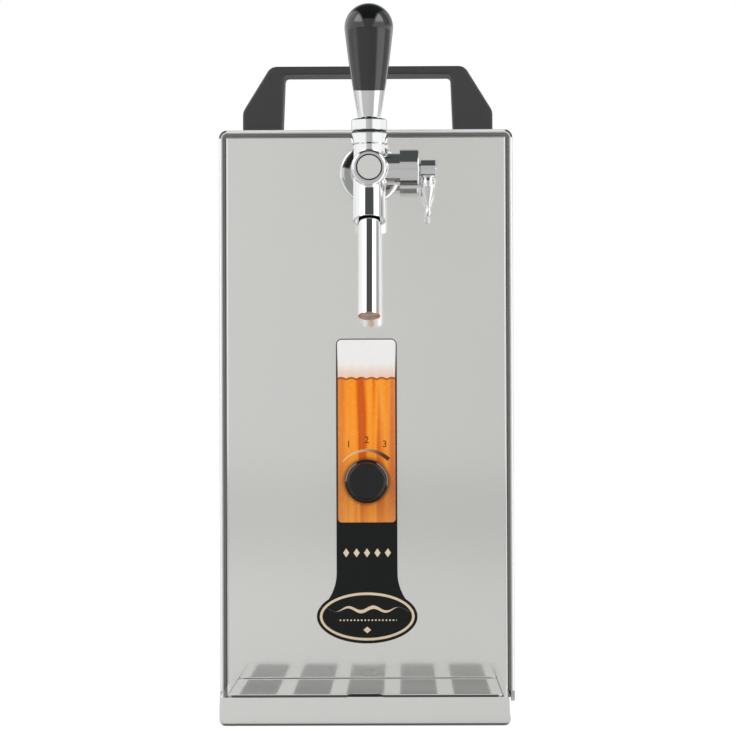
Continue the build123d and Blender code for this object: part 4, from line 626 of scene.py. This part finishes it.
# plain ornament: an even line in the oval, a tapering ribbon, a row of dots, a lozenge and a chain of five
ornament = {
    "ovalX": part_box("label_plate")[1].x, "ovalZ": 0.0160, "height": 0.0537, "line": (0.0019, 0.0031, 0.0003),
    "ribbonWaves": 420.0, "ribbonSway": 0.0013, "ribbonHalf": 0.0185, "ribbonGirth": 0.00105,
    "ribbonRise": 0.0042, "ribbonEdge": (-0.0001, 0.00012),
    "dotPitch": 0.00105, "dotShift": 0.06, "dotDrop": 0.0022, "dotEdge": (0.00042, 0.00062),
    "dotEnds": (0.0175, 0.0176),
    "lozengeDrop": 0.0080, "lozengeSlope": (1.1, 1.3), "lozengeEdge": (0.0024, 0.0027),
    "chainPitch": 0.0031, "chainShift": 0.062, "chainHeight": 0.0915, "chainSlope": (1.25, 0.85),
    "chainEdge": (0.0021, 0.0024), "chainEnds": (0.0149, 0.0150),
}


def lozenge(across, upward, slope, edge):
    return (across * slope[0] + upward.size() * slope[1]).fade(*edge)


def creamParts(bench, x, z):
    side = x.size()
    ovalX, ovalZ = ornament["ovalX"], ornament["ovalZ"]
    drop = z - ornament["height"]
    oval = bench.length(x / ovalX, drop / ovalZ)
    slope = bench.length(x / (ovalX * ovalX), drop / (ovalZ * ovalZ)).most(0.001)
    line = ((1.0 - oval) * oval / slope).between(*ornament["line"])
    wave = bench.calc("SINE", x * ornament["ribbonWaves"]) * ornament["ribbonSway"]
    taper = x / ornament["ribbonHalf"]
    girth = (1.0 - taper * taper).most(0.0) * ornament["ribbonGirth"]
    ribbon = (girth - (drop - ornament["ribbonRise"] - wave).size()).step(*ornament["ribbonEdge"])
    dotX = bench.calc("PINGPONG", x + ornament["dotShift"], ornament["dotPitch"])
    dots = bench.length(dotX, drop + ornament["dotDrop"]).fade(*ornament["dotEdge"])
    dots = dots * side.fade(*ornament["dotEnds"])
    single = lozenge(side, drop + ornament["lozengeDrop"], ornament["lozengeSlope"], ornament["lozengeEdge"])
    chainX = bench.calc("PINGPONG", x + ornament["chainShift"], ornament["chainPitch"])
    chain = lozenge(chainX, z - ornament["chainHeight"], ornament["chainSlope"], ornament["chainEdge"])
    chain = chain * side.fade(*ornament["chainEnds"])
    return line.most(ribbon.most(dots)).most(single.most(chain))


def printedStrip():
    material, bench = newMaterial("printedStrip")
    x, _, z = bench.axes()
    field = amberField(bench, x, z)
    field = addCap(bench, x, z, field)
    field = addDialScale(bench, x, z, field)
    # black ground, a keyline round the field that is pale beside the cap, and the field inside it
    inside = framed(bench, x, z, strip["fieldInset"], strip["fieldCorner"])
    keyline = framed(bench, x, z, strip["keyInset"], strip["keyCorner"])
    line = bench.blend(keyline * z.step(strip["capEdge"], strip["top"]), strip["line"], strip["pale"])
    art = bench.blend(z.step(strip["footTop"], strip["footTop"] + strip["footFade"]), strip["black"], line)
    art = bench.blend(inside, art, field)
    art = bench.blend(creamParts(bench, x, z), art, strip["cream"])
    film = bench.noise(scale=120.0, detail=2.0)
    bench.finish(colour=art, rough=0.25 + film * 0.05, specular=0.22,
                 normal=bench.bump(film, distance=0.00003, strength=0.1))
    return material


finishes = {
    "panel": panelFinish(),
    "wrap": wrapFinish(),
    "zinc": brushedSteel("zincSheet", along=(1.0, 1.0, 0.04), tone=(0.55, 0.56, 0.57), rough=0.3),
    "tray": trayFinish(),
    "grid": gridFinish(),
    "chrome": chromePlate(),
    "plate": plateFinish(),
    "cap": brushedSteel("capSatin", along=(1.0, 1.0, 1.0), tone=(0.97, 0.97, 0.95), rough=0.2, metal=0.85),
    "handle": mouldedPlastic("handlePlastic", tone=(0.036, 0.036, 0.038), rough=0.42),
    "grip": glossyBlack("gripPlastic", tone=(0.0015, 0.0015, 0.002)),
    "knob": knobFinish(),
    "strip": printedStrip(),
    "rubber": softRubber("footRubber", tone=(0.022, 0.022, 0.022)),
    "brass": drawnMetal("turnedBrass", tone=(0.76, 0.56, 0.27), rough=0.25, stain=0.85),
    "steelTube": drawnMetal("steelTube", tone=(0.66, 0.66, 0.66), rough=0.2, stain=0.85),
    "copper": drawnMetal("copperTube", tone=(0.78, 0.38, 0.22), rough=0.25, stain=0.6),
    "castAluminium": castMetal("castAluminium", tone=(0.68, 0.69, 0.7), rough=0.4),
    "fins": drawnMetal("finSheet", tone=(0.76, 0.77, 0.78), rough=0.3, stain=0.85),
    "foam": beadFoam(),
    "enamel": enamelBlack(),
    "black": mouldedPlastic("blackMoulding", tone=(0.02, 0.02, 0.021), rough=0.45),
    "grey": mouldedPlastic("greyMoulding", tone=(0.22, 0.225, 0.23), rough=0.4),
    "white": mouldedPlastic("whiteMoulding", tone=(0.72, 0.72, 0.7), rough=0.3),
    "hose": milkyHose(),
    "wire": mouldedPlastic("wireJacket", tone=(0.03, 0.03, 0.035), rough=0.3),
}
worn = {
    "panel": ["front_panel"],
    "wrap": ["casing_wrap"],
    "zinc": ["base_pan", "rear_panel", "casing_screws", "machine_bolts", "cooling_shelf", "fan_guard"],
    "tray": ["drip_tray"],
    "grid": ["drip_grid"],
    "chrome": ["tap_shank", "tap_body", "bonnet_nut", "bonnet_cap", "spout_tube", "compensator_barrel",
               "lever_ferrule", "compensator_lever"],
    "plate": ["escutcheon"],
    "cap": ["tap_front_cap"],
    "handle": ["carry_handle"],
    "grip": ["lever_handle"],
    "knob": ["thermostat_knob"],
    "strip": ["label_plate"],
    "rubber": ["rubber_feet", "shank_gasket", "rubber_mounts"],
    "brass": ["shank_nut", "thermostat_nut", "thermostat_spindle", "lever_stem"],
    "steelTube": ["beer_coil"],
    "copper": ["thermostat_bulb", "evaporator_coil", "refrigerant_lines", "filter_drier", "capillary_tube",
               "condenser_coil"],
    "castAluminium": ["cooling_block"],
    "fins": ["condenser_fins"],
    "foam": ["insulation_halves"],
    "enamel": ["compressor"],
    "black": ["compressor_relay", "fan_frame", "fan_motor", "fan_blades", "power_inlet", "switch_housings",
              "cooling_rocker", "pump_rocker"],
    "grey": ["air_pump", "push_fittings", "beer_collet", "air_collet"],
    "white": ["thermostat_body", "tap_plunger", "compensator_plug"],
    "hose": ["tap_feed_line", "air_hose"],
    "wire": ["wiring"],
}


def dressNode(name, material):
    slots = nodes[name].data.materials
    slots.clear()
    slots.append(material)


for finish, names in worn.items():
    for name in names:
        dressNode(name, finishes[finish])
print("finishes on", sum(len(names) for names in worn.values()), "pieces")


# every added piece comes into the scene this way
def placePiece(name, shape, material, body="cabinet", sharp=40.0):
    bmesh.ops.remove_doubles(shape, verts=shape.verts[:], dist=0.000002)
    bmesh.ops.recalc_face_normals(shape, faces=shape.faces[:])
    mesh = bpy.data.meshes.new(name)
    shape.to_mesh(mesh)
    shape.free()
    mesh.materials.append(material)
    mesh.shade_smooth()
    mesh.set_sharp_from_angle(angle=math.radians(sharp))
    piece = bpy.data.objects.new(name, mesh)
    bpy.context.scene.collection.objects.link(piece)
    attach(piece, body)
    return piece


def shift(shape, offset):
    bmesh.ops.translate(shape, verts=shape.verts, vec=offset)


def tip(shape, degrees):  # turns the shape about the x axis
    turn = Matrix.Rotation(math.radians(degrees), 3, "X")
    bmesh.ops.rotate(shape, verts=shape.verts, cent=(0.0, 0.0, 0.0), matrix=turn)


def extrudeFaces(shape, faces, offset, keep=False):
    grown = bmesh.ops.extrude_face_region(shape, geom=faces, use_keep_orig=keep)
    moved = [item for item in grown["geom"] if isinstance(item, bmesh.types.BMVert)]
    bmesh.ops.translate(shape, verts=moved, vec=offset)


# round-cornered ring standing in an upright plane, cut open at the bottom
def uprightRing(ring):
    halfWidth, lowZ, highZ, width = ring["halfWidth"], ring["lowZ"], ring["highZ"], ring["width"]
    shape = bmesh.new()
    bmesh.ops.create_grid(shape, x_segments=1, y_segments=1, size=1.0)
    tip(shape, 90.0)
    bmesh.ops.scale(shape, verts=shape.verts, vec=(halfWidth, 1.0, (highZ - lowZ) / 2.0))
    shift(shape, (0.0, ring["front"], (highZ + lowZ) / 2.0))
    bmesh.ops.bevel(shape, geom=shape.verts[:], offset=ring["corner"], offset_type="OFFSET", segments=8,
                    profile=0.5, affect="VERTICES", material=-1)
    middle = shape.faces[:]
    bmesh.ops.inset_region(shape, faces=middle, thickness=width, use_even_offset=True, use_boundary=True)
    bmesh.ops.delete(shape, geom=middle, context="FACES")
    boundary = [edge for edge in shape.edges if edge.is_boundary]
    outer = [edge for edge in boundary if isOutside(edge, halfWidth, lowZ, highZ, width)]
    extrudeFaces(shape, shape.faces[:], (0.0, ring["depth"], 0.0), keep=True)
    bmesh.ops.recalc_face_normals(shape, faces=shape.faces[:])
    if ring["rounding"]:
        bmesh.ops.bevel(shape, geom=[edge for edge in outer if edge.is_valid], offset=ring["rounding"],
                        offset_type="OFFSET", segments=5, profile=0.5, affect="EDGES", material=-1)
    parts = shape.verts[:] + shape.edges[:] + shape.faces[:]
    cut = bmesh.ops.bisect_plane(shape, geom=parts, dist=0.000001, plane_co=(0.0, 0.0, ring["cutZ"]),
                                 plane_no=(0.0, 0.0, 1.0), clear_inner=True)
    rims = [edge for edge in cut["geom_cut"] if isinstance(edge, bmesh.types.BMEdge)]
    bmesh.ops.holes_fill(shape, edges=rims, sides=0)
    return shape


def isOutside(edge, halfWidth, lowZ, highZ, width):  # the inner loop lies a whole width further in
    spot = (edge.verts[0].co + edge.verts[1].co) / 2.0
    reach = max(abs(spot.x) - halfWidth, spot.z - highZ, lowZ - spot.z)
    return reach > -width * 0.9


# folded edge of the casing, pale as a painted highlight, with a painted dark reflection where it turns the
# upper corners
casingHem = {"width": 0.0015, "proud": 0.0006, "depth": 0.0026, "rounding": 0.0011, "corner": 0.005,
             "openBelow": 0.006, "light": (0.95, 0.95, 0.94), "dark": (0.02, 0.02, 0.02),
             "curlX": (0.0, 0.0012), "curlZ": (-0.0006, 0.0008), "curlRadius": (0.0036, 0.0040)}
# dark strip in the seam between the hem and the front panel, a dark sheet as painted shade
seamShadeStrip = {"outside": 0.0863, "inside": 0.0838, "sunk": 0.0003, "depth": 0.003, "corner": 0.0042,
             "foot": 0.002, "tuck": 0.0002, "tone": (0.1, 0.1, 0.097)}


def hemFinish():
    material, bench = newMaterial("hemSteel")
    grain = bench.noise(scale=900.0, detail=4.0, rough=0.6, stretch=(1.0, 1.0, 0.03))
    x, _, z = bench.axes()
    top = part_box("casing_wrap")[1]
    aside = x.size() - (top.x - casingHem["corner"])
    above = z - (top.z - casingHem["corner"])
    # painted dark reflection where the edge turns the upper corners
    curl = aside.step(*casingHem["curlX"]) * above.step(*casingHem["curlZ"])
    curl = curl * bench.length(aside, above).step(*casingHem["curlRadius"])
    # pale colour is a painted highlight
    tone = bench.blend(curl, casingHem["light"], casingHem["dark"])
    bench.finish(colour=tone, rough=0.16 + grain * 0.08, metal=0.4,
                 normal=bench.bump(grain, distance=0.000003, strength=0.3))
    return material


def buildCasingEdge():
    low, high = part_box("casing_wrap")
    cutZ = low.z + casingHem["openBelow"]
    shape = uprightRing({"halfWidth": high.x, "lowZ": low.z, "highZ": high.z, "corner": casingHem["corner"],
                         "width": casingHem["width"], "front": frontY - casingHem["proud"],
                         "depth": casingHem["depth"], "rounding": casingHem["rounding"], "cutZ": cutZ})
    placePiece("casingHem", shape, hemFinish())
    topZ = high.z - casingHem["width"] + seamShadeStrip["tuck"]
    # painted shade: a dark sheet in the seam
    shade = softRubber("seamShade", seamShadeStrip["tone"])
    shape = uprightRing({"halfWidth": seamShadeStrip["outside"], "lowZ": seamShadeStrip["foot"], "highZ": topZ,
                         "corner": seamShadeStrip["corner"], "width": seamShadeStrip["outside"] - seamShadeStrip["inside"],
                         "front": frontY + seamShadeStrip["sunk"], "depth": seamShadeStrip["depth"], "rounding": 0.0,
                         "cutZ": cutZ})
    placePiece("seamShadeStrip", shape, shade)


buildCasingEdge()
print("casing edge built")


# thin dark rings in the tap's front cap and between its two bonnet nuts
tapSeals = {"capRadius": 0.00745, "capThick": 0.00032, "nose": -0.0160, "gapRadius": 0.0099,
            "gapThick": 0.00026, "sides": 10, "steps": 64, "tone": (0.02, 0.02, 0.02)}


def placeRing(name, radius, thick, centre, turn, material):
    shape = bmesh.new()
    bmesh.ops.create_circle(shape, cap_ends=False, radius=thick, segments=tapSeals["sides"])
    shift(shape, (radius, 0.0, 0.0))
    bmesh.ops.spin(shape, geom=shape.verts[:] + shape.edges[:], cent=(0.0, 0.0, 0.0), axis=(0.0, 1.0, 0.0),
                   dvec=(0.0, 0.0, 0.0), angle=math.tau, steps=tapSeals["steps"], use_merge=True)
    tip(shape, turn)
    shift(shape, centre)
    placePiece(name, shape, material)


def buildTapSeals():
    dark = softRubber("sealRubber", tapSeals["tone"])
    placeRing("capSeal", tapSeals["capRadius"], tapSeals["capThick"], (tapX, tapY + tapSeals["nose"], tapZ),
              0.0, dark)
    gapZ = (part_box("bonnet_nut")[1].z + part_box("bonnet_cap")[0].z) / 2.0
    placeRing("bonnetSeal", tapSeals["gapRadius"], tapSeals["gapThick"], (tapX, tapY, gapZ), 90.0, dark)


# jet insert in the mouth of the leaning spout, with a blind hole
spoutJet = {"radius": 0.00535, "length": 0.004, "recess": 0.0019, "holeShare": 0.28, "holeDepth": 0.7,
            "sides": 40, "spoutEnd": 0.0926, "lean": 20.0, "tone": (0.46, 0.36, 0.34), "rough": 0.35}


def buildSpoutJet():
    shape = bmesh.new()
    bmesh.ops.create_cone(shape, cap_ends=True, segments=spoutJet["sides"], radius1=spoutJet["radius"],
                          radius2=spoutJet["radius"], depth=spoutJet["length"])
    mouth = [face for face in shape.faces if face.normal.z < -0.9]
    bmesh.ops.inset_region(shape, faces=mouth, thickness=spoutJet["radius"] * (1.0 - spoutJet["holeShare"]))
    extrudeFaces(shape, mouth, (0.0, 0.0, spoutJet["length"] * spoutJet["holeDepth"]))
    bmesh.ops.delete(shape, geom=[face for face in mouth if face.is_valid], context="FACES")
    shift(shape, (0.0, 0.0, spoutJet["recess"] + spoutJet["length"] / 2.0 - spoutJet["spoutEnd"]))
    tip(shape, -spoutJet["lean"])
    shift(shape, (tapX, tapY, tapZ))
    insert = mouldedPlastic("insertPlastic", spoutJet["tone"], spoutJet["rough"])
    placePiece("spoutInsert", shape, insert)


buildTapSeals()
buildSpoutJet()
print("tap trim built")


dialNumbers = {"text": "123", "radius": 0.0245, "height": 0.0040, "capShare": 0.7, "step": 26.0,
               "thick": 0.00012, "tone": (0.09, 0.035, 0.012)}


def numberMesh(number):
    curve = bpy.data.curves.new("number" + number, "FONT")
    curve.body = number
    curve.size = dialNumbers["height"] / dialNumbers["capShare"]
    curve.align_x = "CENTER"
    curve.align_y = "CENTER"
    curve.extrude = dialNumbers["thick"] / 2.0
    writer = bpy.data.objects.new(curve.name, curve)
    bpy.context.scene.collection.objects.link(writer)
    mesh = bpy.data.meshes.new_from_object(writer)
    bpy.data.objects.remove(writer)
    return mesh


def buildDialNumbers():
    ink = mouldedPlastic("dialInk", dialNumbers["tone"], 0.5, specular=0.2)
    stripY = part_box("label_plate")[0].y
    shape = bmesh.new()
    for index, number in enumerate(dialNumbers["text"]):
        mesh = numberMesh(number)
        turn = math.radians((index - 1) * dialNumbers["step"])
        place = Matrix.Translation((dialNumbers["radius"] * math.sin(turn), stripY,
                                    dialZ + dialNumbers["radius"] * math.cos(turn)))
        mesh.transform(place @ Matrix.Rotation(math.radians(90.0), 4, "X"))
        shape.from_mesh(mesh)
        bpy.data.meshes.remove(mesh)
    placePiece("dialNumbers", shape, ink, sharp=30.0)


buildDialNumbers()
print("dial numbers built")
